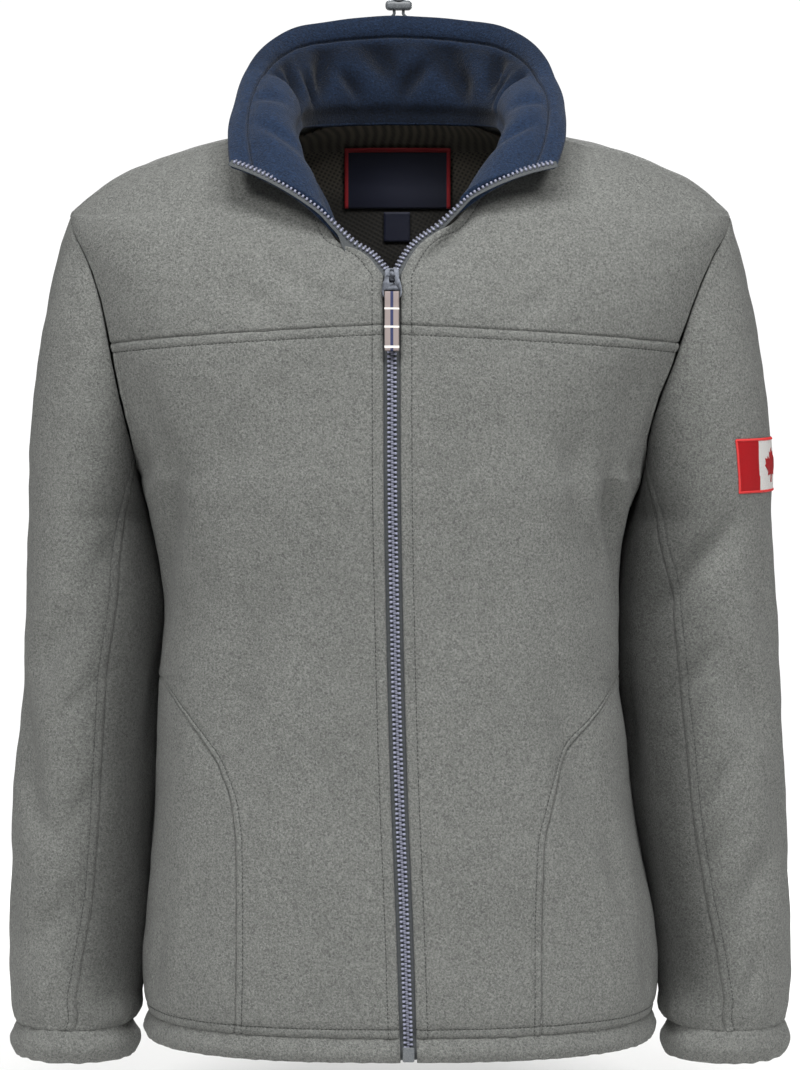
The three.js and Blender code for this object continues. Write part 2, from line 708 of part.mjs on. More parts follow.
function collar() {
  const heights = [0, 0.2, 0.42, 0.64, COLLAR_CASING - 0.02, COLLAR_CASING + 0.03, 1];
  const grid = heights.map((height) => widerSteps(0, 1, 38).map((at) => collarPoint(at, height)));
  const thick = (share) => COLLAR_CLOTH + (share > 0.72 ? 1 : 0) - (share > 0.99 ? 1.6 : 0);
  const inside = () => new THREE.Vector3(0, -60, 60);
  return part('collar', wall(grid, thick, { inside }), 'collar');
}

// A piece that lies on the inside of the back, a given way in from its outer face.
function insideBack(name, rows, left, right, depth, thickness, paint, columns) {
  const grid = rows.map((z) => {
    const reach = slice(z, 'left', 'back').reach;
    const most = 0.72 * reach - 4;
    return widerSteps(Math.max(left, -most), Math.min(right, most), columns).map((x) => {
      const square = slice(z, 'left', 'back').square;
      const phi = deg(Math.asin(clamp((Math.abs(x) / reach) ** (square / 2), 0, 1)));
      const angle = x < 0 ? -180 + phi : 180 - phi;
      const point = torsoPoint(z, angle);
      const away = torsoPoint(z - 2, angle).sub(torsoPoint(z + 2, angle));
      const side = torsoPoint(z, angle + 1).sub(torsoPoint(z, angle - 1));
      const normal = side.cross(away).normalize();
      const sign = normal.y > 0 ? -1 : 1;
      return point.addScaledVector(normal, sign * depth);
    });
  });
  return part(name, wall(grid, thickness, { inside: axisPoint }), paint);
}

// The sleeve's outer face at an angle and a height.
function sleeveAtHeight(side, z, angle) {
  let low = 0;
  let high = 1;
  for (let i = 0; i < 24; i += 1) {
    const stage = (low + high) / 2;
    if (sleevePoint(side, stage, angle).z > z) {
      low = stage;
    } else {
      high = stage;
    }
  }
  return sleevePoint(side, (low + high) / 2, angle);
}

function flagPatch() {
  const side = 'left';
  const rows = steps(-281, -241, 5).map((z) =>
    widerSteps(60, -22, 10).map((angle) => sleeveAtHeight(side, z, angle)),
  );
  const push = () => 1.9;
  return part('flag_patch', wall(rows, 1.5, { inside: armAxis(side), push }), 'patch');
}

// A section swept through stations, each with a place, a way across the tape and a way out of it.
function strip(stations, section) {
  const positions = [];
  const triangles = [];
  const count = section.length;
  for (const { place, across, out } of stations) {
    for (const [side, lift] of section) {
      positions.push(place.clone().addScaledVector(across, side).addScaledVector(out, lift));
    }
  }
  const rows = stations.length;
  for (let r = 0; r < rows - 1; r += 1) {
    for (let c = 0; c < count; c += 1) {
      const a = r * count + c;
      const b = r * count + ((c + 1) % count);
      triangles.push(a, b, b + count, a, b + count, a + count);
    }
  }
  const flat = THREE.ShapeUtils.triangulateShape(section.map(([x, y]) => new THREE.Vector2(x, y)), []);
  for (const [a, b, c] of flat) {
    triangles.push(a, c, b);
    const top = (rows - 1) * count;
    triangles.push(top + a, top + b, top + c);
  }
  const geometry = fromTriangles(positions, triangles);
  return volume(positions, triangles) < 0 ? fromTriangles(positions, flipped(triangles)) : geometry;
}

function volume(positions, triangles) {
  let total = 0;
  for (let i = 0; i < triangles.length; i += 3) {
    const [a, b, c] = [0, 1, 2].map((k) => positions[triangles[i + k]]);
    total += a.dot(b.clone().cross(c)) / 6;
  }
  return total;
}

function flipped(triangles) {
  const turned = [...triangles];
  for (let i = 0; i < turned.length; i += 3) {
    [turned[i + 1], turned[i + 2]] = [turned[i + 2], turned[i + 1]];
  }
  return turned;
}

function torsoFrame(x, z, sign) {
  const place = torsoPoint(z, angleAtX(z, x));
  const up = torsoPoint(z + 2, angleAtX(z + 2, x)).sub(torsoPoint(z - 2, angleAtX(z - 2, x))).normalize();
  const side = torsoPoint(z, angleAtX(z, x + 3)).sub(torsoPoint(z, angleAtX(z, x - 3))).normalize();
  const out = side.clone().cross(up).normalize();
  return { place, up, out, side: side.multiplyScalar(sign) };
}

// One half of the zip: a row of teeth on the edge of its tape, up the front and the collar's edge.
function zipHalf(side) {
  const sign = side === 'right' ? -1 : 1;
  const stations = [];
  const low = [HEM_BOTTOM + 2, HEM_BOTTOM + 8, HEM_SEAM];
  for (const z of [...low, ...steps(HEM_SEAM + 16, ZIP_OPEN_AT - 14, 12)]) {
    const frame = torsoFrame(read(ZIP_LINE, 'z', 'x', z), z, sign);
    stations.push({ place: frame.place, across: frame.side, out: frame.out });
  }
  const open = ZIP_OPEN[side];
  open.forEach(({ x, z }, i) => {
    const frame = torsoFrame(x, z, sign);
    if (i === 0) {
      stations.push({ place: frame.place, across: frame.side, out: frame.out });
      return;
    }
    const next = open[Math.min(i + 1, open.length - 1)];
    const last = open[i - 1];
    const ahead = new THREE.Vector3(next.x - last.x, 0, next.z - last.z);
    const travel = frame.side.clone().multiplyScalar(ahead.x * sign).addScaledVector(frame.up, ahead.z);
    const across = travel.normalize().cross(frame.out).multiplyScalar(sign).normalize();
    stations.push({ place: frame.place, across, out: frame.out });
  });
  const edge = side === 'right' ? 0 : 1;
  const into = side === 'right' ? 0.02 : -0.02;
  // Along the collar the zip lies over the inner face, with its tape on the collar's front edge.
  const collarStations = [0.16, 0.3, 0.45, 0.6, 0.75, 0.88, 0.985].map((height) => {
    const point = collarPoint(edge, height);
    const inwards = collarPoint(edge + into, height).sub(point).normalize();
    const lower = collarPoint(edge, clamp(height - 0.05, 0, 1));
    const upper = collarPoint(edge, clamp(height + 0.05, 0, 1));
    const out = inwards.clone().cross(upper.sub(lower)).multiplyScalar(-sign).normalize();
    const place = point.addScaledVector(inwards, ZIP_HALF - 1).addScaledVector(out, ZIP_ON_COLLAR);
    return { place, across: inwards.negate(), out };
  });
  const before = stations[stations.length - 1];
  const after = collarStations[0];
  for (const t of [0.33, 0.67]) {
    const place = before.place.clone().lerp(after.place, t);
    const across = before.across.clone().lerp(after.across, t).normalize();
    const out = before.out.clone().lerp(after.out, t).normalize();
    stations.push({ place, across, out });
  }
  const teeth = [
    [0.25, -3.5],
    [ZIP_HALF - 1, -3.5],
    [ZIP_HALF - 1, -2.4],
    [3.1, -2.4],
    [3.1, -0.9],
    [0.25, -0.9],
  ];
  return part(`zip_${side}`, strip([...stations, ...collarStations], teeth), 'tape');
}

// Where the slider sits: its plates stand in front of and behind the teeth.
function sliderFrame() {
  const frame = torsoFrame(-6, -119, 1);
  const matrix = new THREE.Matrix4().makeBasis(frame.side, frame.out.clone().negate(), frame.up);
  matrix.setPosition(frame.place);
  return matrix;
}

function rounded(width, height, radius) {
  const shape = new THREE.Shape();
  const x = width / 2;
  const y = height / 2;
  shape.moveTo(-x + radius, -y);
  shape.lineTo(x - radius, -y);
  shape.absarc(x - radius, -y + radius, radius, -Math.PI / 2, 0);
  shape.lineTo(x, y - radius);
  shape.absarc(x - radius, y - radius, radius, 0, Math.PI / 2);
  shape.lineTo(-x + radius, y);
  shape.absarc(-x + radius, y - radius, radius, Math.PI / 2, Math.PI);
  shape.lineTo(-x, -y + radius);
  shape.absarc(-x + radius, -y + radius, radius, Math.PI, Math.PI * 1.5);
  return shape;
}

// A flat shape drawn in x and z, from one depth to another. Minus depths stand in front of the zip.
function plate(shape, near, far) {
  const settings = { depth: far - near, bevelEnabled: false, curveSegments: 5 };
  const geometry = new THREE.ExtrudeGeometry(shape, settings);
  geometry.rotateX(Math.PI / 2);
  geometry.translate(0, far, 0);
  return geometry;
}

// The slider is a front plate over the teeth, with a bridge on it that carries the pull.
function slider() {
  const outline = rounded(SLIDER_WIDTH, SLIDER_LENGTH, 3);
  const bridge = new THREE.Shape();
  bridge.moveTo(-5, -0.1);
  bridge.lineTo(6, -0.1);
  bridge.quadraticCurveTo(5.5, 5.8, 1.5, 6);
  bridge.quadraticCurveTo(-3.5, 6, -5, -0.1);
  const eye = new THREE.Path();
  eye.absarc(PULL_PIVOT_UP, PULL_PIVOT_OUT, 1.5, 0, Math.PI * 2, true);
  bridge.holes.push(eye);
  const rib = new THREE.ExtrudeGeometry(bridge, { depth: 3, bevelEnabled: false, curveSegments: 6 });
  rib.applyMatrix4(new THREE.Matrix4().makeBasis(
    new THREE.Vector3(0, 0, 1),
    new THREE.Vector3(0, -1, 0),
    new THREE.Vector3(1, 0, 0),
  ));
  rib.translate(-1.5, -SLIDER_FRONT, 0);
  const geometry = joined(plate(outline, -SLIDER_FRONT, 0.5), rib);
  geometry.applyMatrix4(sliderFrame());
  return part('slider', geometry, 'metal');
}

// Where the pull turns, and how far it leans forward at rest against the front.
function pullMatrix() {
  const pivot = new THREE.Vector3(0, -SLIDER_FRONT - PULL_PIVOT_OUT, PULL_PIVOT_UP).applyMatrix4(sliderFrame());
  const matrix = new THREE.Matrix4().makeRotationX(rad(-PULL_LEAN));
  matrix.setPosition(pivot);
  return matrix;
}

// A flat metal pull with a narrow eye above and a wide slot below for the ribbon.
function pullPlate() {
  const shape = new THREE.Shape();
  shape.moveTo(-3, 0.9);
  shape.quadraticCurveTo(-7, -3, -7.4, -12);
  shape.quadraticCurveTo(-7.4, -PULL_LENGTH, -5, -PULL_LENGTH);
  shape.lineTo(5, -PULL_LENGTH);
  shape.quadraticCurveTo(7.4, -PULL_LENGTH, 7.4, -12);
  shape.quadraticCurveTo(7, -3, 3, 0.9);
  shape.lineTo(-3, 0.9);
  const eye = rounded(4.2, 5, 1.2);
  const slot = rounded(11.8, 4.2, 0.8);
  shape.holes.push(moved(eye, 0, -3.4), moved(slot, 0, -PULL_LENGTH + 3.6));
  const plateBody = plate(shape, -0.8, 0.8);
  plateBody.applyMatrix4(pullMatrix());
  return part('pull', plateBody, 'metal');
}

function moved(shape, x, y) {
  const path = new THREE.Path();
  path.setFromPoints(shape.getPoints(4).slice(0, -1).map((point) => new THREE.Vector2(point.x + x, point.y + y)));
  return path;
}

// The ribbon is one strip folded through the pull's slot, its two halves sewn flat together.
function ribbon() {
  const section = new THREE.Shape();
  const top = -PULL_LENGTH + 4.4;
  section.moveTo(-1.9, top - 2.6);
  section.quadraticCurveTo(-1.9, top + 0.9, 0, top + 0.9);
  section.quadraticCurveTo(1.9, top + 0.9, 1.9, top - 2.6);
  section.quadraticCurveTo(1.9, top - 7, 1.2, top - 9);
  section.lineTo(1.2, -PULL_LENGTH - RIBBON_LENGTH);
  section.lineTo(-1.2, -PULL_LENGTH - RIBBON_LENGTH);
  section.lineTo(-1.2, top - 9);
  section.quadraticCurveTo(-1.9, top - 7, -1.9, top - 2.6);
  const hole = new THREE.Path();
  hole.moveTo(-1.1, top - 2.6);
  hole.quadraticCurveTo(-1.1, top - 6.2, 0, top - 6.2);
  hole.quadraticCurveTo(1.1, top - 6.2, 1.1, top - 2.6);
  hole.quadraticCurveTo(1.1, top + 0.1, 0, top + 0.1);
  hole.quadraticCurveTo(-1.1, top + 0.1, -1.1, top - 2.6);
  section.holes.push(hole);
  const settings = { depth: RIBBON_WIDTH, bevelEnabled: false, curveSegments: 4 };
  const geometry = new THREE.ExtrudeGeometry(section, settings);
  geometry.applyMatrix4(new THREE.Matrix4().makeBasis(
    new THREE.Vector3(0, 1, 0),
    new THREE.Vector3(0, 0, 1),
    new THREE.Vector3(1, 0, 0),
  ));
  geometry.translate(-RIBBON_WIDTH / 2, 0, 0);
  geometry.applyMatrix4(pullMatrix());
  return part('pull_ribbon', geometry, 'ribbon');
}

// The moulded box that holds the zip's lower end together.
function zipBox() {
  const frame = torsoFrame(read(ZIP_LINE, 'z', 'x', HEM_BOTTOM + 8), HEM_BOTTOM + 8, 1);
  const matrix = new THREE.Matrix4().makeBasis(frame.side, frame.out.clone().negate(), frame.up);
  matrix.setPosition(frame.place);
  const geometry = plate(rounded(8.6, 11, 1.2), -1.2, 0.5);
  geometry.applyMatrix4(matrix);
  return part('zip_box', geometry, 'plastic');
}

// The cord lock stands over the rim of the collar at the back, with the drawcord's loop through it.
function cordLock() {
  const body = new THREE.Shape();
  body.moveTo(-LOCK_WIDTH / 2, -LOCK_HEIGHT / 2 + 2);
  body.quadraticCurveTo(-LOCK_WIDTH / 2, -LOCK_HEIGHT / 2, -LOCK_WIDTH / 2 + 3, -LOCK_HEIGHT / 2);
  body.lineTo(LOCK_WIDTH / 2 - 3, -LOCK_HEIGHT / 2);
  body.quadraticCurveTo(LOCK_WIDTH / 2, -LOCK_HEIGHT / 2, LOCK_WIDTH / 2, -LOCK_HEIGHT / 2 + 2);
  body.quadraticCurveTo(LOCK_WIDTH / 2, LOCK_HEIGHT / 2, LOCK_WIDTH / 4, LOCK_HEIGHT / 2);
  body.lineTo(-LOCK_WIDTH / 4, LOCK_HEIGHT / 2);
  body.quadraticCurveTo(-LOCK_WIDTH / 2, LOCK_HEIGHT / 2, -LOCK_WIDTH / 2, -LOCK_HEIGHT / 2 + 2);
  const geometry = plate(body, -LOCK_DEPTH / 2, LOCK_DEPTH / 2);
  const solid = manifold(geometry);
  const bores = [-1, 1].map((side) => {
    const bore = new THREE.CylinderGeometry(CORD_BORE, CORD_BORE, LOCK_HEIGHT + 4, 12);
    bore.rotateX(Math.PI / 2);
    bore.translate(side * CORD_SPREAD, 0, 0);
    return manifold(bore);
  });
  const cut = bores.reduce((rest, bore) => rest.subtract(bore), solid);
  const result = fromManifold(cut);
  result.translate(LOCK_X, LOCK_Y, LOCK_Z);
  return part('cord_lock', result, 'plastic');
}

function drawcord() {
  const low = LOCK_Z - LOCK_HEIGHT / 2;
  const top = LOCK_Z + LOCK_HEIGHT / 2;
  const bend = LOCK_Y + 0.4;
  const leg = (side) => {
    const foot = collarPoint(0.5 + side * 0.016, 0.86);
    return [
      foot.clone().add(new THREE.Vector3(0, 0.3, 0)),
      foot.clone().add(new THREE.Vector3(0, 2.6, 0.5)),
      foot.clone().add(new THREE.Vector3(0, 4.4, 3.6)),
      ...[low - 2.6, low - 0.8, LOCK_Z, top + 0.6].map((z) =>
        new THREE.Vector3(LOCK_X + side * CORD_SPREAD, LOCK_Y, z)),
    ];
  };
  const over = [-0.6, 0, 0.6].map((share) =>
    new THREE.Vector3(LOCK_X + share * CORD_SPREAD, bend, top + 4.2 - 2.6 * share * share));
  const path = new THREE.CatmullRomCurve3([...leg(-1), ...over, ...leg(1).reverse()], false, 'centripetal');
  const circle = new THREE.Shape();
  circle.absarc(0, 0, CORD / 2, 0, Math.PI * 2);
  const settings = { steps: 26, extrudePath: path, bevelEnabled: false, curveSegments: 4 };
  return part('drawcord', new THREE.ExtrudeGeometry(circle, settings), 'label');
}

function manifold(geometry) {
  geometry.deleteAttribute('normal');
  geometry.deleteAttribute('uv');
  const merged = mergeVertices(geometry, 1e-4);
  const mesh = new wasm.Mesh({
    numProp: 3,
    vertProperties: merged.attributes.position.array,
    triVerts: new Uint32Array(merged.index.array),
  });
  mesh.merge();
  return new wasm.Manifold(mesh);
}

function fromManifold(solid) {
  const mesh = solid.getMesh();
  const geometry = new THREE.BufferGeometry();
  geometry.setAttribute('position', new THREE.BufferAttribute(mesh.vertProperties, 3));
  geometry.setIndex(new THREE.BufferAttribute(mesh.triVerts, 1));
  geometry.computeVertexNormals();
  return geometry;
}

function joined(first, second) {
  return fromManifold(manifold(first).add(manifold(second)));
}

const jacket = new THREE.Group();
jacket.add(backPanel());
for (const side of ['right', 'left']) {
  jacket.add(...frontPanels(side));
  jacket.add(...sleevePanels(side));
  jacket.add(cuff(side));
  jacket.add(zipHalf(side));
}
jacket.add(hemBand());
jacket.add(collar());
jacket.add(insideBack('neck_lining', LINING_ROWS, -LINING_HALF, LINING_HALF, LINING_IN, LINING_CLOTH, 'lining', 14));
jacket.add(insideBack('neck_label', steps(-61, -18, 5), -44, 40, LABEL_IN, 0.9, 'label', 8));
jacket.add(insideBack('size_tag', steps(-88, -64, 2), -13, 8, LABEL_IN, 0.7, 'label', 2));
jacket.add(flagPatch());
jacket.add(slider(), pullPlate(), ribbon(), zipBox());
jacket.add(cordLock(), drawcord());
export default jacket;
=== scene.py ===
"""A fleece zip jacket with its stand collar open, dressed over the CAD frame.

The shape functions work in millimetres, as the pattern was drafted, and a piece is turned to
metres when its mesh is made. +Z is up, -Y is the front and +X is the wearer's left.
"""

import math

import bmesh
import bpy
import numpy as np
from mathutils import Matrix, Vector


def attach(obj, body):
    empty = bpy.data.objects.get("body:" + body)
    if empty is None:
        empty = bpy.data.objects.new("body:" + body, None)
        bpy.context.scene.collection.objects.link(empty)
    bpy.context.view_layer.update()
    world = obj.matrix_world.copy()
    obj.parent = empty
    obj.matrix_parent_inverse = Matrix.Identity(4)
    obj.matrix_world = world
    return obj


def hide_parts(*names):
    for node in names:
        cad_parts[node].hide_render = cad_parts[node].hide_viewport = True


bl_info = {
    "name": "Fleece zip jacket",
    "version": (1, 0, 0),
    "blender": (4, 5, 0),
    "location": "3D View > Sidebar > Jacket",
    "description": "Sews a fleece zip jacket over its CAD frame, with its stage and camera",
    "category": "Object",
}

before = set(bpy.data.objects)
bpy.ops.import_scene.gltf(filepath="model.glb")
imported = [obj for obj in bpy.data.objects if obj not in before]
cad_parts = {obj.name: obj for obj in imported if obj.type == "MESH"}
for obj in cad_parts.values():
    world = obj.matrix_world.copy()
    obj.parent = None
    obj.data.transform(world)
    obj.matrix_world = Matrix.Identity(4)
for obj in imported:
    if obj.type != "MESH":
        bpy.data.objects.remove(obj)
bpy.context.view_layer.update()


def table(columns, *rows):
    """Rows of numbers under named columns."""
    return {name: np.array([row[i] for row in rows], float) for i, name in enumerate(columns.split())}


# ---- The pattern, the same numbers as the frame's own source ----
SEAMS = {"hem_bottom": -703, "hem": -684, "yoke": -153, "yoke_top": -4, "cuff": -694, "cuff_bottom": -721}
ARMPIT, SHOULDER = -270, -70
YOKE_DROP = -15  # from the zip to the armhole
NECK_RISE = 8
ZIP_HALF = 6.2
ZIP_OPEN_AT = -116
SLEEVE_HEAD_END = -300
SLEEVE_HEAD_BULGE = 9
ARMHOLE_FRONT, ARMHOLE_BACK, ARMHOLE_SPREAD, ARMHOLE_GAP = 62, 70, 26, 0.1
COLLAR_CASING = 0.78
COLLAR_CLOTH = 4.4
LINING_HALF = 118
SQUARE_BODY, SQUARE_SHOULDER = 2.5, 2.2
SIDE_PANEL_TOP = -424
COLLAR_START = {"right": -90, "left": -76}
SLEEVE_SEAM_AT_ARMHOLE = {"front": 148, "back": -125}
# the patch, round the left sleeve and up it
PATCH_ANGLES, PATCH_HEIGHTS = (60, -22), (-281, -241)
# the radius at which a turn in degrees is measured out in millimetres, for folds
TORSO_RADIUS, SLEEVE_RADIUS = 150, 52
# how many times the depths in the tables the folds are pressed in
FOLD_STRENGTH, LINING_FOLD_STRENGTH, COLLAR_FOLD_STRENGTH = 2.0, 1.4, 2.7
FLOOR_HEIGHT, FLOOR_RADIUS = -0.79, 1.5
CAMERA_PLACE, CAMERA_AIM, CAMERA_LENS = (0, -3.0, -0.13), (0, 0, -0.3165), 130.8

TORSO = table(
    "z right left front back",
    (-703, 196, 196, 137, 119),
    (-695, 199, 199, 140, 122),
    (-684, 195, 195, 137, 118),
    (-670, 198, 198, 140, 121),
    (-645, 199, 199, 140, 120),
    (-608, 196, 196, 138, 115),
    (-560, 193, 187, 136, 110),
    (-520, 190, 180, 134, 106),
    (-470, 188, 175, 133, 103),
    (-423, 186, 169, 133, 103),
    (-370, 182, 169, 134, 105),
    (-335, 186, 170, 136, 109),
    (-300, 193, 176, 138, 114),
    (-270, 200, 187, 140, 118),
    (-200, 200, 190, 140, 122),
    (-155, 200, 190, 136, 122),
    (-120, 200, 190, 126, 119),
    (-100, 230, 230, 116, 115),
    (-70, 253, 253, 98, 109),
    (-62, 246, 246, 93, 107),
    (-53, 236, 236, 87, 104),
    (-43, 222, 222, 80, 101),
    (-34, 203, 203, 72, 97),
    (-24, 178, 178, 62, 91),
    (-16, 150, 150, 52, 84),
    (-10, 124, 124, 43, 77),
    (-4, 97, 97, 33, 68),
    (0, 80, 80, 25, 62),
)
ARMHOLE = table(
    "z right left",
    (-270, 200, 187),
    (-243, 204, 188),
    (-216, 210, 194),
    (-181, 217, 207),
    (-138, 226, 222),
    (-104, 238, 237),
    (-83, 249, 249),
    (-70, 253, 253),
)
FRONT_EDGE = {
    "right": table(
        "z x",
        (-116, 12.4),
        (-110.7, 16.4),
        (-104.4, 21.3),
        (-99, 28),
        (-96, 34),
        (-93.5, 42),
        (-89, 48),
        (-60, 61),
        (-36, 74),
        (-14, 83),
        (-4, 82),
    ),
    "left": table(
        "z x",
        (-116, 0.2),
        (-108, 4.2),
        (-97, 11),
        (-88.8, 19.6),
        (-82.6, 29),
        (-79, 36),
        (-75, 41),
        (-53, 57),
        (-32, 74),
        (-12, 83),
        (-4, 82),
    ),
}
ZIP_LINE = table("z x", (-703, 6.6), (-600, 3.4), (-500, -0.6), (-400, -3.4), (-250, -5.8), (-116, -6))
# The teeth of the open part, from where the two halves part to the collar's front edge.
ZIP_OPEN = {
    "right": table(
        "t x z", (0, -6.25, -116), (1, -7.6, -111.5), (2, -11.6, -107), (3, -17, -100.5), (4, -24.4, -95), (5, -31.5, -91.5)
    ),
    "left": table(
        "t x z", (0, -5.75, -116), (1, -4.6, -111.5), (2, -1.2, -105), (3, 6, -94), (4, 15.4, -85.4), (5, 25.4, -79)
    ),
}
CURVED_SEAM = table(
    "z right left",
    (-703, 125, 105),
    (-679, 124, 106),
    (-629, 123, 107),
    (-581, 123, 107.5),
    (-543, 123.5, 108.5),
    (-513, 127, 115),
    (-485, 138, 124),
    (-462, 152, 137),
    (-440, 169, 155),
    (-421, 184, 168),
)
# drawn further forward than on the frame, where the photo shows it
SHOULDER_SEAM = table("z angle", (-70, 90), (-62, 82), (-43, 71), (-16, 60), (-4, 62), (0, 78))
SLEEVE = table(
    "z outer gap front back",
    (-721, 298, 11, 50, 16),
    (-708, 304, 6, 57, 22),
    (-694, 299.5, 8, 54, 19),
    (-678, 303, 5, 58, 23),
    (-655, 304.5, 3, 60, 27),
    (-616, 304, 1.8, 60, 33),
    (-569, 302, 1.3, 60, 39),
    (-523, 300, 1.3, 60, 45),
    (-476, 297.5, 1.3, 60, 51),
    (-430, 295, 1.3, 60, 57),
    (-382, 292, 1.3, 61, 62),
    (-335, 289, 1.3, 62, 66),
    (-300, 286.5, 1.8, 62, 69),
)
SLEEVE_SEAMS = table(
    "z front back",
    (-721, 94, -106),
    (-660, 97, -108),
    (-580, 106, -110),
    (-420, 108, -112),
    (-345, 116, -116),
    (-300, 130, -120),
)
COLLAR_RIM = table(
    "at x y z belly",
    (0, -127, -98, -39, 9),
    (0.1, -128, -64, -14, 11),
    (0.2, -124, -26, 11, 10),
    (0.28, -119, 8, 35, 9),
    (0.35, -107, 37, 58, 7),
    (0.42, -74, 62, 78, 4),
    (0.5, 0, 76, 86, 3),
    (0.58, 74, 62, 78, 4),
    (0.65, 107, 37, 58, 7),
    (0.72, 118, 8, 35, 9),
    (0.8, 123, -26, 11, 10),
    (0.9, 123, -62, -12, 10),
    (1, 116, -96, -40, 8),
)

# ---- Folds, placed one by one. Deep is how far a trough goes in; minus is a ridge. ----
TORSO_FOLDS = table(
    "angle z long wide lean deep",
    (-62, -300, 70, 15, 34, 5),
    (64, -296, 62, 13, -40, 7),
    (40, -262, 55, 12, -28, 4),
    (-36, -430, 90, 20, 12, 4),
    (44, -480, 80, 18, -15, 4),
    (-150, -330, 90, 20, 22, 5),
    (146, -350, 80, 18, -18, 5),
    (176, -520, 110, 26, 5, 4),
    # finer ones, for this dressed shape alone
    (70, -268, 34, 7, -52, 2.6),
    (56, -322, 38, 8, -48, 2.2),
    (75, -352, 30, 7, -20, 2.4),
    (-70, -262, 32, 7, 50, 2.0),
    (-76, -338, 36, 8, 24, 2.0),
    (-22, -138, 30, 9, -38, 1.6),
    (6.4, -90, 24, 2.8, 27, 5.2),
    (-7, -103, 18, 4, -30, 0.9),
    (22, -136, 30, 9, 40, 1.2),
    (-14, -122, 20, 7, -40, 1.5),
    (-52, -212, 60, 14, 20, 1.6),
    (50, -206, 54, 12, -24, 1.6),
    (-18, -560, 80, 16, 6, 1.5),
    (24, -600, 70, 17, -8, 1.6),
    (-48, -600, 60, 13, 10, 1.8),
    (57, -560, 60, 12, -6, 2.0),
    (68, -640, 36, 10, -14, 1.6),
    (-66, -640, 40, 10, 12, 1.6),
    (-104, -300, 40, 9, -30, 2.6),
    (108, -310, 44, 9, 32, 2.6),
    (-120, -420, 70, 12, 18, 2.4),
    (118, -440, 64, 13, -20, 2.2),
    (-166, -210, 60, 13, 14, 1.8),
    (160, -190, 52, 12, -12, 1.8),
    (178, -330, 80, 16, 3, 1.6),
    (-158, -620, 60, 14, -8, 2.2),
    (150, -600, 66, 15, 9, 2.2),
    (-128, -580, 50, 12, 6, 2.0),
    (130, -650, 40, 12, -8, 1.8),
)
SLEEVE_FOLDS = {
    "right": table(
        "angle z long wide lean deep",
        (62, -395, 60, 14, 30, 5),
        (30, -470, 70, 15, -24, 4),
        (70, -610, 45, 13, 35, 4),
        (-70, -430, 60, 16, 30, 5),
        (104, -330, 34, 8, 34, 2.2),
        (84, -440, 40, 8, 40, 2.2),
        (46, -520, 44, 10, -34, 2.2),
        (92, -520, 40, 9, 30, 2.4),
        (12, -360, 50, 12, 10, 1.6),
        (20, -600, 46, 10, -20, 1.8),
        (78, -668, 26, 7, 24, 1.6),
        (-30, -520, 60, 12, 22, 2.4),
        (-80, -560, 50, 11, -20, 2.6),
        (-110, -380, 48, 10, 14, 2.4),
        (160, -450, 60, 12, 8, 2.4),
        (-50, -640, 40, 9, 12, 2.0),
    ),
    "left": table(
        "angle z long wide lean deep",
        (88, -330, 48, 12, -38, 5),
        (52, -445, 60, 14, 28, 5),
        (60, -580, 50, 14, -30, 4),
        (-66, -450, 66, 16, -26, 5),
        (112, -362, 34, 8, -40, 2.4),
        (96, -420, 40, 8, -36, 2.4),
        (80, -500, 44, 9, -28, 2.2),
        (34, -380, 52, 11, 12, 1.6),
        (28, -530, 50, 11, 24, 2.0),
        (96, -560, 36, 9, -30, 2.2),
        (70, -655, 28, 7, -20, 1.6),
        (-34, -540, 56, 12, -18, 2.4),
        (-84, -590, 46, 11, 22, 2.6),
        (-112, -370, 50, 10, -12, 2.4),
        (158, -470, 60, 12, -8, 2.4),
        (-48, -650, 38, 9, -10, 2.0),
    ),
}
# On the collar: place along it, height as a share, half sizes in mm, lean and depth on the inner face.
COLLAR_FOLDS = table(
    "at up long wide lean deep",
    (0.325, 0.42, 34, 7, 24, 3.4),
    (0.365, 0.30, 26, 6, 10, 2.6),
    (0.405, 0.45, 34, 7, 26, 3.6),
    (0.445, 0.30, 22, 6, -14, 2.2),
    (0.485, 0.52, 30, 7, -18, 2.8),
    (0.520, 0.34, 26, 6, 16, 2.8),
    (0.555, 0.55, 32, 7, -20, 2.4),
    (0.590, 0.32, 26, 7, -34, 3.2),
    (0.635, 0.50, 34, 7, -26, 3.4),
    (0.675, 0.34, 26, 6, -8, 2.2),
    (0.295, 0.36, 46, 6, 10, 3.4),
    (0.708, 0.38, 46, 6, -12, 3.6),
    (0.130, 0.40, 36, 9, 8, 1.8),
    (0.220, 0.55, 34, 8, -12, 1.8),
    (0.800, 0.50, 36, 8, 10, 1.8),
    (0.880, 0.40, 34, 9, -8, 1.8),
)


# ---- Shape functions, in millimetres ----
def smooth(t):
    t = np.clip(t, 0, 1)
    return t * t * (3 - 2 * t)


def read(rows, column, at, key="z"):
    """A column of a table at any height, smoothly and without overshoot."""
    keys, values = rows[key], rows[column]
    at = np.clip(np.asarray(at, float), keys[0], keys[-1])
    width = np.diff(keys)
    step = np.diff(values) / width
    both = step[:-1] * step[1:]
    total = np.where(both > 0, step[:-1] + step[1:], 1)
    slope = np.concatenate([step[:1], np.where(both > 0, 2 * both / total, 0), step[-1:]])
    k = np.clip(np.searchsorted(keys, at, side="left") - 1, 0, len(keys) - 2)
    t = (at - keys[k]) / width[k]
    bend = t * (1 - t) ** 2 * slope[k] - t * t * (1 - t) * slope[k + 1]
    return values[k] + (values[k + 1] - values[k]) * t * t * (3 - 2 * t) + width[k] * bend


def unit(vectors):
    return vectors / np.maximum(np.linalg.norm(vectors, axis=-1, keepdims=True), 1e-12)


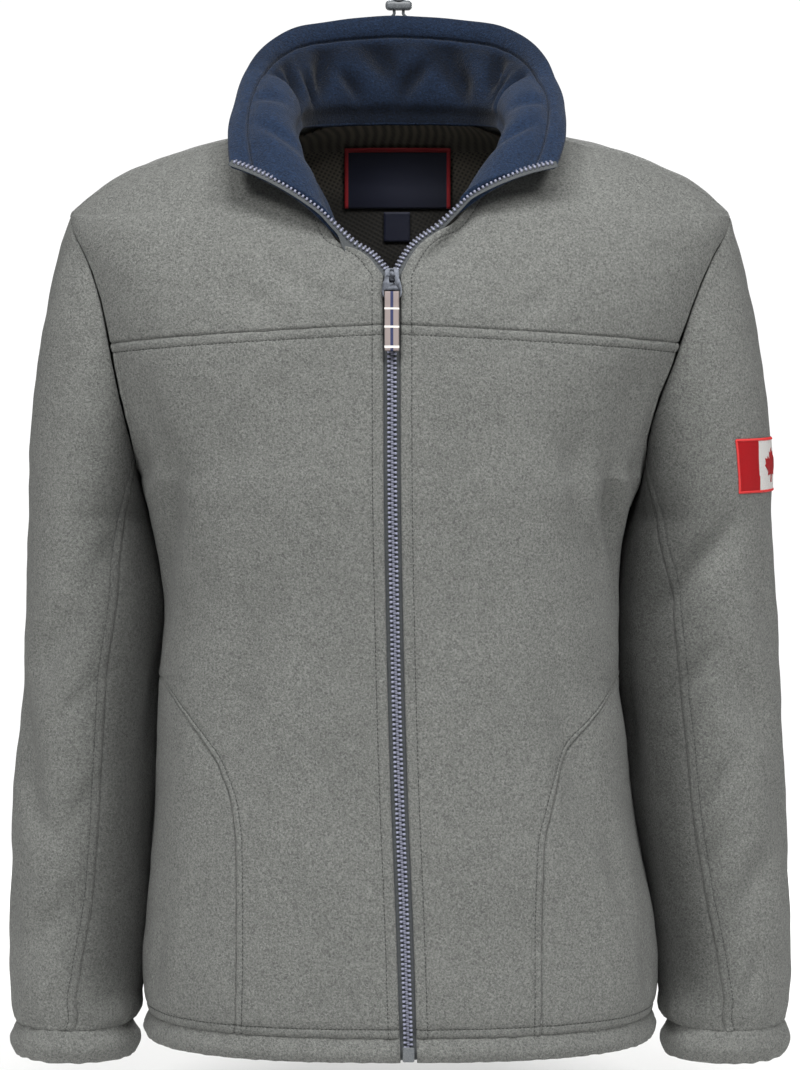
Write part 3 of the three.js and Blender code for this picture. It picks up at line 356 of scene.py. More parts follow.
def torso_slice(z, left, front):
    """How square the slice at z is, its reach and depth, and where its armhole limits it."""
    share = np.clip((z - ARMPIT) / (SHOULDER - ARMPIT), 0, 1)
    inside = (z > ARMPIT) & (z < SHOULDER)
    opened = np.where(inside, (1 - np.abs(share * 2 - 1) ** SQUARE_SHOULDER) ** (1 / SQUARE_SHOULDER), 0)
    square = SQUARE_BODY + (SQUARE_SHOULDER - SQUARE_BODY) * share
    at_armhole = np.where(left, read(ARMHOLE, "left", z), read(ARMHOLE, "right", z))
    at_side = np.where(left, read(TORSO, "left", z), read(TORSO, "right", z))
    edge = np.where(inside, at_armhole, at_side)
    reach = edge + ARMHOLE_SPREAD * opened**3
    depth = np.where(front, read(TORSO, "front", z), read(TORSO, "back", z))
    hole = np.where(front, ARMHOLE_FRONT, ARMHOLE_BACK) * opened
    limit = np.arcsin(np.clip((edge / reach) ** (square / 2), 0, 1))
    floor = np.where(opened > 0, np.clip(np.cos(limit), 0, 1) ** (2 / square), 0)
    return square, reach, depth, hole, np.degrees(limit), floor


def torso_point(z, angle):
    """The torso's outer face. The angle runs from the front, minus towards the wearer's right."""
    z, angle = np.broadcast_arrays(np.asarray(z, float), np.asarray(angle, float))
    turn = np.abs(angle)
    front = turn <= 90
    square, reach, depth, hole, _, floor = torso_slice(z, angle >= 0, front)
    phi = np.radians(np.where(front, turn, 180 - turn))
    across = np.clip(np.sin(phi), 0, 1) ** (2 / square)
    along = np.clip(np.cos(phi), 0, 1) ** (2 / square)
    out = hole + (depth - hole) * (along - floor) / (1 - floor)
    rise = np.where(front, 0, NECK_RISE * np.cos(phi) * smooth((z + 60) / 60))
    x = np.where(angle < 0, -1, 1) * reach * across
    return np.stack([x, np.where(front, -out, out), z + rise], -1)


def angle_at(z, x):
    """The angle at which the front of the torso is x from the middle."""
    z, x = np.broadcast_arrays(np.asarray(z, float), np.asarray(x, float))
    square, reach, *_ = torso_slice(z, x >= 0, True)
    return np.sign(x) * np.degrees(np.arcsin(np.clip((np.abs(x) / reach) ** (square / 2), 0, 1)))


def front_limit(z, side):
    limit = torso_slice(z, side == "left", True)[4]
    return np.where(z >= SHOULDER, read(SHOULDER_SEAM, "angle", z), np.where(z > ARMPIT, limit, 90))


def back_limit(z, side):
    limit = torso_slice(z, side == "left", False)[4]
    return np.where(z >= SHOULDER, 180 - read(SHOULDER_SEAM, "angle", z), np.where(z > ARMPIT, limit, 90))


def front_edge(z, side):
    """The angle of a front panel's edge beside the zip and round the neck."""
    sign = -1 if side == "right" else 1
    closed = read(ZIP_LINE, "x", z) + sign * ZIP_HALF
    return angle_at(z, np.where(z > ZIP_OPEN_AT, sign * read(FRONT_EDGE[side], "x", z), closed))


def curved_seam(z, side):
    sign = -1 if side == "right" else 1
    limit = front_limit(z, side)
    seam = np.abs(angle_at(z, sign * read(CURVED_SEAM, side, z)))
    rise = smooth((z - SIDE_PANEL_TOP) / 6)
    return sign * np.minimum(limit, seam + (limit - seam) * rise)


def sleeve_inner(side, z):
    """The side of a sleeve that hangs against the body. Above the hem the two cloths press together."""
    gap = read(SLEEVE, "gap", z)
    touch = smooth((z + 672) / 30) * smooth((-282 - z) / 14)
    return read(TORSO, side, np.maximum(z, SEAMS["hem_bottom"])) + gap + (-1.4 - gap) * touch


def arm_point(side, z, angle):
    sign = -1 if side == "right" else 1
    z, angle = np.broadcast_arrays(np.asarray(z, float), np.asarray(angle, float))
    turn = np.radians(angle)
    inner, outer = sleeve_inner(side, z), read(SLEEVE, "outer", z)
    depth = np.where(np.sin(turn) > 0, read(SLEEVE, "front", z), read(SLEEVE, "back", z))
    x = sign * (inner + (outer - inner) * (1 + np.cos(turn)) / 2)
    return np.stack([x, -depth * np.sin(turn), z], -1)


def sleeve_point(side, stage, angle):
    """Stage runs 0 to 1 from the armhole to the arm, and 1 to 2 down to the cuff. Angle 0 is outside."""
    sign = -1 if side == "right" else 1
    stage, angle = np.broadcast_arrays(np.asarray(stage, float), np.asarray(angle, float))
    turn = np.radians(angle)
    sine, cosine = np.sin(turn), np.cos(turn)
    bend = 2 / SQUARE_SHOULDER
    z = (ARMPIT + SHOULDER) / 2 + (SHOULDER - ARMPIT) / 2 * np.sign(cosine) * np.abs(cosine) ** bend
    depth = np.where(sine > 0, ARMHOLE_FRONT, ARMHOLE_BACK)
    x = sign * (read(ARMHOLE, side, z) + ARMHOLE_GAP)
    start = np.stack([x, -depth * np.sign(sine) * np.abs(sine) ** bend, z], -1)
    t = np.clip(stage, 0, 1)[..., None]
    low = SLEEVE_HEAD_END + (SEAMS["cuff"] - SLEEVE_HEAD_END) * np.clip(stage - 1, 0, 1)
    point = start * (1 - t) + arm_point(side, low, angle) * t
    bulge = SLEEVE_HEAD_BULGE * 4 * t[..., 0] * (1 - t[..., 0])
    point[..., 0] += sign * bulge * np.clip(cosine, 0, 1) ** 0.7
    point[..., 1] -= 0.7 * bulge * sine
    return point


def sleeve_seam(which, stage):
    """The angle of a sleeve seam."""
    z = SLEEVE_HEAD_END + (SEAMS["cuff"] - SLEEVE_HEAD_END) * np.clip(stage - 1, 0, 1)
    start, end = SLEEVE_SEAM_AT_ARMHOLE[which], read(SLEEVE_SEAMS, which, z)
    return start + (end - start) * np.clip(stage, 0, 1)


def distances(line):
    """How far along a line each of its points lies."""
    return np.concatenate([[0], np.cumsum(np.linalg.norm(np.diff(line, axis=0), axis=1))])


def points_at(line, far, at):
    """The points at given distances along a line."""
    return np.stack([np.interp(at, far, line[:, k]) for k in range(line.shape[1])], -1)


def along_line(line, at):
    """Points at shares of a line's length."""
    steps = np.linalg.norm(np.diff(line, axis=0), axis=1)
    far = np.concatenate([[0], np.cumsum(steps)])
    return np.stack([np.interp(np.asarray(at) * far[-1], far, line[:, k]) for k in range(3)], -1)


def neck_seam_line():
    right = np.linspace(COLLAR_START["right"], SEAMS["yoke_top"], 160)
    left = np.linspace(SEAMS["yoke_top"], COLLAR_START["left"], 160)
    back = np.linspace(-98, 98, 300)
    return np.concatenate(
        [
            torso_point(right, front_edge(right, "right")),
            torso_point(0, np.where(back < 0, -180 - back, 180 - back)),
            torso_point(left, front_edge(left, "left")),
        ]
    )


NECK_SEAM = neck_seam_line()
NECK_LENGTH = float(np.linalg.norm(np.diff(NECK_SEAM, axis=0), axis=1).sum())


def collar_point(at, height):
    """The collar's outer face, from the neck seam at height 0 to the rim at 1."""
    at, height = np.broadcast_arrays(np.asarray(at, float), np.asarray(height, float))
    seam = along_line(NECK_SEAM, at)
    rim = np.stack([read(COLLAR_RIM, key, at, "at") for key in "xyz"], -1)
    along = unit(along_line(NECK_SEAM, np.clip(at + 0.01, 0, 1)) - along_line(NECK_SEAM, np.clip(at - 0.01, 0, 1)))
    rise = rim - seam
    out = -unit(np.cross(along, rise))
    start = seam - out + unit(rise) * 0.9
    belly = read(COLLAR_RIM, "belly", at, "at")
    h = height[..., None]
    return start * (1 - h) + rim * h - out * (belly * 4 * height * (1 - height))[..., None]


def fold_depth(folds, angle, z, radius):
    """How far the folds press a face in at an angle and a height."""
    depth = np.zeros(np.shape(z))
    for at, level, long, wide, lean, deep in zip(*(folds[k] for k in ("angle", "z", "long", "wide", "lean", "deep"))):
        side = np.radians((angle - at + 540) % 360 - 180) * radius
        up, turn = z - level, math.radians(lean)
        along = up * math.cos(turn) + side * math.sin(turn)
        across = side * math.cos(turn) - up * math.sin(turn)
        depth += deep * np.exp(-2 * (along / long) ** 2 - (across / wide) ** 2)
    return depth


def ripple(points, length, seed):
    """Soft waves of about a given length, from -1 to 1, that never repeat neatly."""
    spin = np.random.default_rng(seed)
    total = np.zeros(points.shape[:-1])
    for _ in range(7):
        direction = unit(spin.normal(size=3))
        wave = length * spin.uniform(0.7, 1.5)
        total += np.sin(points @ direction * 2 * math.pi / wave + spin.uniform(0, 6.28))
    return total / 3.2


def drape(points, angle, folds, radius, folded=1, waved=1):
    """How far the cloth stands off its plain form: the folds press it in, soft waves lift and sink it."""
    waves = 1.1 * ripple(points * (1, 1, 0.6), 74, 11) + 0.3 * ripple(points, 25, 12)
    return waved * waves - FOLD_STRENGTH * folded * fold_depth(folds, angle, points[..., 2], radius)


# ---- Cloth panels ----
NEAR_SEAM = (0, 0.45, 0.9, 1.5, 2.3, 3.4)


def near_edge(stitch=0):
    """Distances from an edge at which a panel has lines of points: close at the seam and the stitching."""
    if not stitch:
        return np.array(NEAR_SEAM + (5.0, 7.5))
    beside = [stitch + d for d in (-1.3, -0.6, 0, 0.6, 1.3, 3.2)]
    return np.array(sorted([d for d in NEAR_SEAM if d < stitch - 1.8] + beside))


def respaced(lines, start, end, spacing):
    """Read every line again at set distances from both its ends, and evenly between them."""
    lengths = [np.linalg.norm(np.diff(line[:, :3], axis=0), axis=1).sum() for line in lines]
    middle = max(2, int(round((max(lengths) - start[-1] - end[-1]) / spacing)))
    result = []
    for line, length in zip(lines, lengths):
        far = np.concatenate([[0], np.cumsum(np.linalg.norm(np.diff(line[:, :3], axis=0), axis=1))])
        scale = min(1, length * 0.42 / max(start[-1], end[-1]))
        first, last = start * scale, length - end[::-1] * scale
        between = np.linspace(first[-1], last[0], middle + 1)[1:-1]
        spots = np.concatenate([first, between, last])
        read_again = [np.interp(spots, far, line[:, k]) for k in range(line.shape[1])]
        result.append(np.stack(read_again + [spots, length - spots], -1))
    return np.array(result)


def normals_of(points, closed=False):
    """Normals of a grid of points, from its neighbours along both ways."""
    if closed:
        across = np.roll(points, -1, 1) - np.roll(points, 1, 1)
    else:
        across = np.gradient(points, axis=1)
    up = np.gradient(points, axis=0)
    return unit(np.cross(across, up))


def seam_dip(distance, stitch, flange):
    """The roll of cloth down into a seam, the raised flange beside it and the sunk row of stitches."""
    dip = -1.25 * np.exp(-((distance / 1.25) ** 2))
    if stitch:
        inside = np.clip(distance / stitch, 0, 1)
        dip = dip + flange * np.sin(math.pi * inside) ** 0.6 * (distance < stitch)
        dip = dip - 0.6 * np.exp(-(((distance - stitch) / 0.75) ** 2))
    return dip


def turned_edge(distance, radius=2.3):
    """A folded edge: the face curls away over its last few millimetres."""
    inside = np.clip(1 - distance / radius, 0, 1)
    return -radius * (1 - np.sqrt(np.clip(1 - inside**2, 0, 1)))


class Panel:
    """A cut piece of cloth: its outer face as a grid of points, with distances to its four edges."""

    def __init__(self, base, stitches, folds, radius, inside, spacing=4.6, turned=(), seed=0, gathers=0):
        # stitches: for the low, top, first and last edge, how far in the topstitching runs
        # inside: the middle of the body or arm at a height
        low, top, first, last = stitches
        across = respaced(base, near_edge(first), near_edge(last), spacing)
        along = respaced(across.transpose(1, 0, 2), near_edge(low), near_edge(top), spacing)
        grid = along.transpose(1, 0, 2)
        self.points = grid[..., :3]
        angle, to_first, to_last, to_low, to_top = (grid[..., k] for k in range(3, 8))
        self.angle = angle
        self.edges = {"low": to_low, "top": to_top, "first": to_first, "last": to_last}
        self.normals = normals_of(self.points)
        self.inside = inside
        if (self.normals * (self.points - inside(self.points[..., 2]))).sum() < 0:
            self.normals = -self.normals
        # the folds fade out at the armhole, where the sleeve's cloth meets the body's
        level = self.points[..., 2]
        if gathers:
            held = np.exp(-((to_top / 20) ** 2))
        else:
            held = smooth((level + 292) / 45) * smooth((-64 - level) / 10)
            held = held * np.exp(-((np.minimum(to_first, to_last) / 15) ** 2))
            held = held * (np.abs(angle) > 40)
        fade = 1 - np.exp(-((np.minimum.reduce([to_low, to_top, to_first, to_last]) / 12) ** 2))
        out = drape(self.points, angle, folds, radius, 1 - held, fade)
        for name, stitch in zip(("low", "top", "first", "last"), stitches):
            distance = self.edges[name]
            if name in turned:
                out = out + turned_edge(distance)
                if stitch:
                    out = out - 0.55 * np.exp(-(((distance - stitch) / 0.75) ** 2))
                    out = out + 0.25 * np.clip(1 - distance / stitch, 0, 1) ** 0.5
            else:
                out = out + seam_dip(distance, stitch, 0.5)
            near = np.exp(-((distance / 13) ** 2))
            out = out + 0.28 * near * ripple(self.points, 15, 21 + seed)
        if gathers:
            # elastic in the cuff draws the sleeve's end into small upright pleats
            pleats = ripple(self.points * (1, 1, 0.12), 11, 33)
            out = out + gathers * np.exp(-((to_low / 24) ** 2)) * pleats * smooth(to_low / 3)
        self.points = self.points + self.normals * out[..., None]
        dressed = normals_of(self.points)
        self.normals = np.where((self.normals * dressed).sum(-1, keepdims=True) < 0, -1, 1) * dressed

    def row_at(self, edge, distance):
        """The line of points that runs a set distance in from an edge."""
        gap = self.edges[edge]
        if edge in ("low", "top"):
            at = int(np.argmin(np.abs(np.median(gap, axis=1) - distance)))
            return self.points[at], self.normals[at]
        at = int(np.argmin(np.abs(np.median(gap, axis=0) - distance)))
        return self.points[:, at], self.normals[:, at]


def grid_object(name, points, uv=None, merge=False, inside=None):
    """A grid from bmesh laid over rows of points given in millimetres, with a value for its material."""
    rows, columns = points.shape[:2]
    bm = bmesh.new()
    bmesh.ops.create_grid(bm, x_segments=columns - 1, y_segments=rows - 1, size=1.0)
    mesh = bpy.data.meshes.new(name)
    bm.to_mesh(mesh)
    bm.free()
    flat = np.empty(len(mesh.vertices) * 3)
    mesh.vertices.foreach_get("co", flat)
    flat = flat.reshape(-1, 3)
    column = np.rint((flat[:, 0] + 1) / 2 * (columns - 1)).astype(int)
    row = np.rint((flat[:, 1] + 1) / 2 * (rows - 1)).astype(int)
    mesh.vertices.foreach_set("co", (points[row, column] / 1000).ravel())
    if uv is not None:
        layer = mesh.uv_layers.new(name="cloth")
        loops = np.empty(len(mesh.loops), int)
        mesh.loops.foreach_get("vertex_index", loops)
        layer.data.foreach_set("uv", (uv[row, column][loops] / 1000).ravel())
    if inside is not None:
        mesh.attributes.new("inside", "FLOAT", "POINT").data.foreach_set("value", inside[row, column].astype(float))
    mesh.polygons.foreach_set("use_smooth", np.ones(len(mesh.polygons), bool))
    mesh.update()
    piece = bpy.data.objects.new(name, mesh)
    bpy.context.scene.collection.objects.link(piece)
    if merge:
        edit_mesh(piece, lambda bm: bmesh.ops.remove_doubles(bm, verts=bm.verts, dist=1e-5))
    return piece


def edit_mesh(piece, *changes):
    """Run bmesh changes on a piece's mesh."""
    bm = bmesh.new()
    bm.from_mesh(piece.data)
    for change in changes:
        change(bm)
    bm.to_mesh(piece.data)
    bm.free()
    piece.data.update()


def face_outwards(piece, outward_at):
    """Turn the faces round if most of them look against a grid's outward normals."""
    mesh = piece.data
    count = len(mesh.polygons)
    centres, normals = np.empty(count * 3), np.empty(count * 3)
    mesh.polygons.foreach_get("center", centres)
    mesh.polygons.foreach_get("normal", normals)
    centres, normals = centres.reshape(-1, 3) * 1000, normals.reshape(-1, 3)
    if (normals * outward_at(centres)).sum() < 0:
        edit_mesh(piece, lambda bm: bmesh.ops.reverse_faces(bm, faces=bm.faces))


def thicken(piece, thickness):
    solid = piece.modifiers.new("cloth thickness", "SOLIDIFY")
    solid.thickness = thickness / 1000
    solid.offset = -1
    solid.use_rim = True
    return solid


def sewn(piece, node, slot, material, flat=None, held="stretched", area=None, body="jacket", **more):
    """Put a finished piece of cloth in the place of its CAD node."""
    piece.data.materials.append(material)
    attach(piece, body)
    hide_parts(node)
    return piece


def sheet_size(points):
    """The flat width, length and area in metres of a grid of points in millimetres."""
    across = np.linalg.norm(np.diff(points, axis=1), axis=2).sum(1)
    along = np.linalg.norm(np.diff(points, axis=0), axis=2).sum(0)
    first = np.linalg.norm(np.diff(points, axis=1), axis=2)[:-1]
    second = np.linalg.norm(np.diff(points, axis=0), axis=2)[:, :-1]
    width, length = across.max() / 1000, along.max() / 1000
    return (float(width), float(length)), float(min((first * second).sum() / 1e6, width * length))


def panel_piece(panel, name, material, slot, thickness, shaded_side=None):
    uv = np.stack([panel.edges["first"], panel.edges["low"]], -1)
    piece = grid_object(f"{name}_cloth", panel.points, uv, inside=shaded_side)
    face_outwards(piece, lambda at: at - panel.inside(at[:, 2]))
    thicken(piece, thickness)
    flat, area = sheet_size(panel.points)
    return sewn(piece, name, slot, material, flat, area=area)


def heights(low, top, count=260):
    """Heights of fine rows, evenly spaced along the torso's side and over the shoulder."""
    z = np.linspace(low, top, 1500)
    x = read(TORSO, "right", z)
    far = np.concatenate([[0], np.cumsum(np.hypot(np.diff(z), np.where(z[1:] > SHOULDER, np.diff(x), 0)))])
    return np.interp(np.linspace(0, far[-1], count), far, z)


def torso_middle(z):
    return np.stack([0 * z, 0 * z, z - 30], -1)


def arm_middle(side):
    def middle(z):
        x = across(side) * (sleeve_inner(side, z) + read(SLEEVE, "outer", z)) / 2
        return np.stack([x, 0 * z, z], -1)

    return middle


def torso_base(low, top, edges, slant=False, fine=260):
    """Fine rows of a torso panel between two edges, each an angle for a height."""
    share = np.linspace(0, 1, fine)[None, :]
    z = heights(low, top)[:, None] + np.zeros_like(share)
    if slant:
        z = z + YOKE_DROP * share * smooth(1 - np.abs(z - SEAMS["yoke"]) / 70)
    first, last = edges(z)
    angle = first + (last - first) * share
    return np.concatenate([torso_point(z, angle), angle[..., None]], -1)


def sleeve_base(side, from_angle, to_angle):
    stage = np.concatenate([np.linspace(0, 1, 90), np.linspace(1, 2, 260)[1:]])[:, None]
    share = np.linspace(0, 1, 200)[None, :]
    angle = from_angle(stage) + (to_angle(stage) - from_angle(stage)) * share
    return np.concatenate([sleeve_point(side, stage + 0 * share, angle), angle[..., None]], -1)


def looped(outer, inner, rim_rows=7):
    """Rows that run up an outer face, round the rim, down the inner face and round the foot."""
    def turn(start, end, before):
        middle, half = (start + end) / 2, (start - end) / 2
        up = unit(start - before) * np.linalg.norm(half, axis=-1, keepdims=True)
        angles = np.linspace(0, math.pi, rim_rows + 2)[1:-1]
        return [middle + half * math.cos(a) + up * math.sin(a) for a in angles]

    rows = list(outer) + turn(outer[-1], inner[-1], outer[-2]) + list(inner[::-1])
    rows += turn(inner[0], outer[0], inner[1])
    return np.array(rows + [outer[0]])


# ---- Materials ----
def linear(code):
    """An sRGB hex colour as linear RGBA."""
    parts = [int(code[i : i + 2], 16) / 255 for i in (1, 3, 5)]
    return [c / 12.92 if c <= 0.04045 else ((c + 0.055) / 1.055) ** 2.4 for c in parts] + [1.0]


def add(tree, kind, values=None, links=None, **settings):
    """Add a node with its settings, the values of its sockets and the links into them."""
    node = tree.nodes.new(kind)
    for key, value in settings.items():
        setattr(node, key, value)
    for key, value in (values or {}).items():
        node.inputs[key].default_value = value
    for key, source in (links or {}).items():
        tree.links.new(source[0].outputs[source[1]], node.inputs[key])
    return node


def new_material(name):
    material = bpy.data.materials.new(name)
    material.use_nodes = True
    material.node_tree.nodes.clear()
    return material, material.node_tree


def shaded(tree, values, links):
    surface = add(tree, "ShaderNodeBsdfPrincipled", values, links)
    add(tree, "ShaderNodeOutputMaterial", links={"Surface": (surface, "BSDF")})


def ramp(tree, source, stops, interpolation="LINEAR"):
    node = add(tree, "ShaderNodeValToRGB", links={"Fac": source})
    node.color_ramp.interpolation = interpolation
    while len(node.color_ramp.elements) < len(stops):
        node.color_ramp.elements.new(0.5)
    for element, (place, colour) in zip(node.color_ramp.elements, stops):
        element.position, element.color = place, colour
    return node


def polar_fleece(name, dark, body, light, nap, bloom):
    """Knitted polyester raised and sheared to a dense, pebbled nap: dull, with a soft bloom at its edges."""
    material, tree = new_material(name)
    place = add(tree, "ShaderNodeTexCoord")
    at = (place, "Object")
    # tufts of nap about 2 mm across, wider clumps of 9 mm, and handling marks of 60 mm
    tufts = add(tree, "ShaderNodeTexNoise", {"Scale": 700.0, "Detail": 2.0, "Roughness": 0.6, "Distortion": 0.8}, {"Vector": at})
    clumps = add(tree, "ShaderNodeTexNoise", {"Scale": 110.0, "Detail": 2.0, "Roughness": 0.5}, {"Vector": at})
    marks = add(tree, "ShaderNodeTexNoise", {"Scale": 16.0, "Detail": 2.0, "Roughness": 0.5}, {"Vector": at})
    shades = ramp(tree, (tufts, "Fac"), [(0.34, linear(dark)), (0.52, linear(body)), (0.72, linear(light))])
    clumped = add(
        tree,
        "ShaderNodeMapRange",
        {"From Min": 0.3, "From Max": 0.7, "To Min": 0.965, "To Max": 1.035},
        {"Value": (clumps, "Fac")},
    )
    marked = add(
        tree,
        "ShaderNodeMapRange",
        {"From Min": 0.3, "From Max": 0.7, "To Min": 0.95, "To Max": 1.04},
        {"Value": (marks, "Fac")},
    )
    both = add(tree, "ShaderNodeMath", links={0: (clumped, "Result"), 1: (marked, "Result")}, operation="MULTIPLY")
    # painted shade: where a piece carries an 'inside' value (the inner face of the collar, the sleeves' sides against
    # the body), the colour is darkened as if shade fell there
    turned = add(tree, "ShaderNodeAttribute", attribute_name="inside")
    painted_shade_scale = add(tree, "ShaderNodeMapRange", {"To Min": 1.0, "To Max": 0.25}, {"Value": (turned, "Fac")})
    tone_and_painted_shade = add(tree, "ShaderNodeMath", links={0: (both, "Value"), 1: (painted_shade_scale, "Result")}, operation="MULTIPLY")
    colour = add(tree, "ShaderNodeVectorMath", links={0: (shades, "Color"), "Scale": (tone_and_painted_shade, "Value")}, operation="SCALE")
    height = add(tree, "ShaderNodeMath", {1: 0.3}, {0: (clumps, "Fac"), 2: (tufts, "Fac")}, operation="MULTIPLY_ADD")
    bump = add(tree, "ShaderNodeBump", {"Strength": 0.9, "Distance": nap / 1000}, {"Height": (height, "Value")})
    shaded(
        tree,
        {"Roughness": 0.95, "Specular IOR Level": 0.12, "Sheen Weight": bloom, "Sheen Roughness": 0.5},
        {"Base Color": (colour, "Vector"), "Normal": (bump, "Normal")},
    )
    return material


def mesh_lining(dark, body):
    """Warp-knitted polyester mesh: a slightly shiny yarn net with slanting rows of small holes."""
    material, tree = new_material("warp-knitted mesh")
    place = add(tree, "ShaderNodeTexCoord")
    # holes 3.2 mm apart, on a slant; the real ones are 2 mm, too fine to draw
    turn = {"Rotation": (0, 0, math.radians(28)), "Scale": (312.0, 312.0, 312.0)}
    slant = add(tree, "ShaderNodeMapping", turn, {"Vector": (place, "UV")})
    holes = add(tree, "ShaderNodeTexVoronoi", {"Scale": 1.0, "Randomness": 0.05}, {"Vector": (slant, "Vector")})
    net = ramp(tree, (holes, "Distance"), [(0.18, linear(dark)), (0.42, linear(body))])
    # painted shade: it darkens downwards into the hollow between the fronts, where their shadow falls
    low = add(tree, "ShaderNodeAttribute", attribute_name="inside")
    painted_shade_scale = add(tree, "ShaderNodeMapRange", {"To Min": 1.0, "To Max": 0.06}, {"Value": (low, "Fac")})
    net = add(tree, "ShaderNodeVectorMath", links={0: (net, "Color"), "Scale": (painted_shade_scale, "Result")}, operation="SCALE")
    bump = add(tree, "ShaderNodeBump", {"Strength": 0.7, "Distance": 0.0006}, {"Height": (holes, "Distance")})
    shaded(tree, {"Roughness": 0.7, "Sheen Weight": 0.1}, {"Base Color": (net, "Vector"), "Normal": (bump, "Normal")})
    return material


def woven(name, dark, body, thread, roughness=0.75):
    """Plain woven tape or satin: fine ribs across, one for each weft thread."""
    material, tree = new_material(name)
    place = add(tree, "ShaderNodeTexCoord")
    size = add(tree, "ShaderNodeMapping", {"Scale": (1000 / thread,) * 3}, {"Vector": (place, "UV")})
    weft = add(tree, "ShaderNodeTexWave", {"Scale": 0.5, "Distortion": 0.4}, {"Vector": (size, "Vector")}, bands_direction="Y")
    warp = add(tree, "ShaderNodeTexWave", {"Scale": 0.5, "Distortion": 0.4}, {"Vector": (size, "Vector")}, bands_direction="X")
    cross = add(tree, "ShaderNodeMath", links={0: (weft, "Fac"), 1: (warp, "Fac")}, operation="MULTIPLY")
    shades = ramp(tree, (cross, "Value"), [(0.0, linear(dark)), (0.7, linear(body))])
    bump = add(tree, "ShaderNodeBump", {"Strength": 0.5, "Distance": 0.0002}, {"Height": (cross, "Value")})
    shaded(tree, {"Roughness": roughness}, {"Base Color": (shades, "Color"), "Normal": (bump, "Normal")})
    return material


def striped_ribbon(ground, stripe, bar):
    """Plain woven ribbon with a dyed stripe down its middle and white bars across: dull, finely ribbed."""
    material, tree = new_material("striped woven ribbon")
    place = add(tree, "ShaderNodeTexCoord")
    parts = add(tree, "ShaderNodeSeparateXYZ", links={"Vector": (place, "UV")})
    over = add(tree, "ShaderNodeMath", {1: 1 / 0.011}, {0: (parts, "X")}, operation="MULTIPLY")
    # the ribbon is the same on both sides of its fold, 50 mm from either end
    back = add(tree, "ShaderNodeMath", {1: 0.046}, {0: (parts, "Y")}, operation="SUBTRACT")
    down = add(tree, "ShaderNodeMath", links={0: (back, "Value")}, operation="ABSOLUTE")
    along = add(tree, "ShaderNodeMath", {1: 20.0}, {0: (down, "Value")}, operation="MULTIPLY")
    edge = linear(shade(ground, 0.62))
    plain = linear(ground)
    stripes = [(0, edge), (0.045, plain), (0.4, linear(stripe)), (0.6, plain), (0.955, edge)]
    lengthways = ramp(tree, (over, "Value"), stripes, "CONSTANT")
    bars = [(0, 0), (0.27, 1), (0.3, 0), (0.545, 1), (0.575, 0), (0.845, 1), (0.88, 0)]
    crossways = ramp(tree, (along, "Value"), [(at, (on, on, on, 1)) for at, on in bars], "CONSTANT")
    both = add(
        tree,
        "ShaderNodeMix",
        {"B": linear(bar)},
        {"Factor": (crossways, "Color"), "A": (lengthways, "Color")},
        data_type="RGBA",
    )
    size = add(tree, "ShaderNodeMapping", {"Scale": (2500.0, 2500.0, 2500.0)}, {"Vector": (place, "UV")})
    weft = add(tree, "ShaderNodeTexWave", {"Scale": 0.5, "Distortion": 0.4}, {"Vector": (size, "Vector")}, bands_direction="Y")
    bump = add(tree, "ShaderNodeBump", {"Strength": 0.5, "Distance": 0.0002}, {"Height": (weft, "Fac")})
    shaded(tree, {"Roughness": 0.75}, {"Base Color": (both, "Result"), "Normal": (bump, "Normal")})
    return material


def moulded_plastic(name, body, light, roughness):
    """Injection-moulded acetal or nylon: even colour, a fine eggshell grain and soft highlights."""
    material, tree = new_material(name)
    place = add(tree, "ShaderNodeTexCoord")
    grain = add(tree, "ShaderNodeTexNoise", {"Scale": 900.0, "Detail": 2.0}, {"Vector": (place, "Object")})
    shades = ramp(tree, (grain, "Fac"), [(0.35, linear(body)), (0.65, linear(light))])
    bump = add(tree, "ShaderNodeBump", {"Strength": 0.15, "Distance": 0.0001}, {"Height": (grain, "Fac")})
    shaded(tree, {"Roughness": roughness, "IOR": 1.48}, {"Base Color": (shades, "Color"), "Normal": (bump, "Normal")})
    return material


def cast_zinc(name, dark, light):
    """Die-cast zinc with a dull gunmetal plating, worn a little brighter where it is handled."""
    material, tree = new_material(name)
    place = add(tree, "ShaderNodeTexCoord")
    wear = add(tree, "ShaderNodeTexNoise", {"Scale": 240.0, "Detail": 4.0, "Roughness": 0.65}, {"Vector": (place, "Object")})
    shades = ramp(tree, (wear, "Fac"), [(0.3, linear(dark)), (0.7, linear(light))])
    dull = add(tree, "ShaderNodeMapRange", {"To Min": 0.42, "To Max": 0.58}, {"Value": (wear, "Fac")})
    bump = add(tree, "ShaderNodeBump", {"Strength": 0.2, "Distance": 0.0001}, {"Height": (wear, "Fac")})
    links = {"Base Color": (shades, "Color"), "Roughness": (dull, "Result"), "Normal": (bump, "Normal")}
    shaded(tree, {"Metallic": 1.0}, links)
    return material


def embroidery(name, dark, body, thread=0.45):
    """Rayon satin stitch: parallel shiny threads lying side by side."""
    material, tree = new_material(name)
    place = add(tree, "ShaderNodeTexCoord")
    size = add(tree, "ShaderNodeMapping", {"Scale": (1000 / thread,) * 3}, {"Vector": (place, "UV")})
    twist = {"Scale": 0.5, "Distortion": 1.2, "Detail": 1.0}
    threads = add(tree, "ShaderNodeTexWave", twist, {"Vector": (size, "Vector")}, bands_direction="X")
    shades = ramp(tree, (threads, "Fac"), [(0.0, linear(dark)), (0.6, linear(body))])
    bump = add(tree, "ShaderNodeBump", {"Strength": 0.5, "Distance": 0.0002}, {"Height": (threads, "Fac")})
    links = {"Base Color": (shades, "Color"), "Normal": (bump, "Normal")}
    shaded(tree, {"Roughness": 0.5, "Specular IOR Level": 0.3}, links)
    return material


MATERIALS = {}


def stuff(name):
    """A material by its short name, made on first use from the jacket's colours."""
    if name not in MATERIALS:
        MATERIALS[name] = make_material(name, bpy.context.scene.jacket_colours)
    return MATERIALS[name]


def as_hex(colour):
    return "#" + "".join("%02x" % round(255 * c) for c in colour[:3])


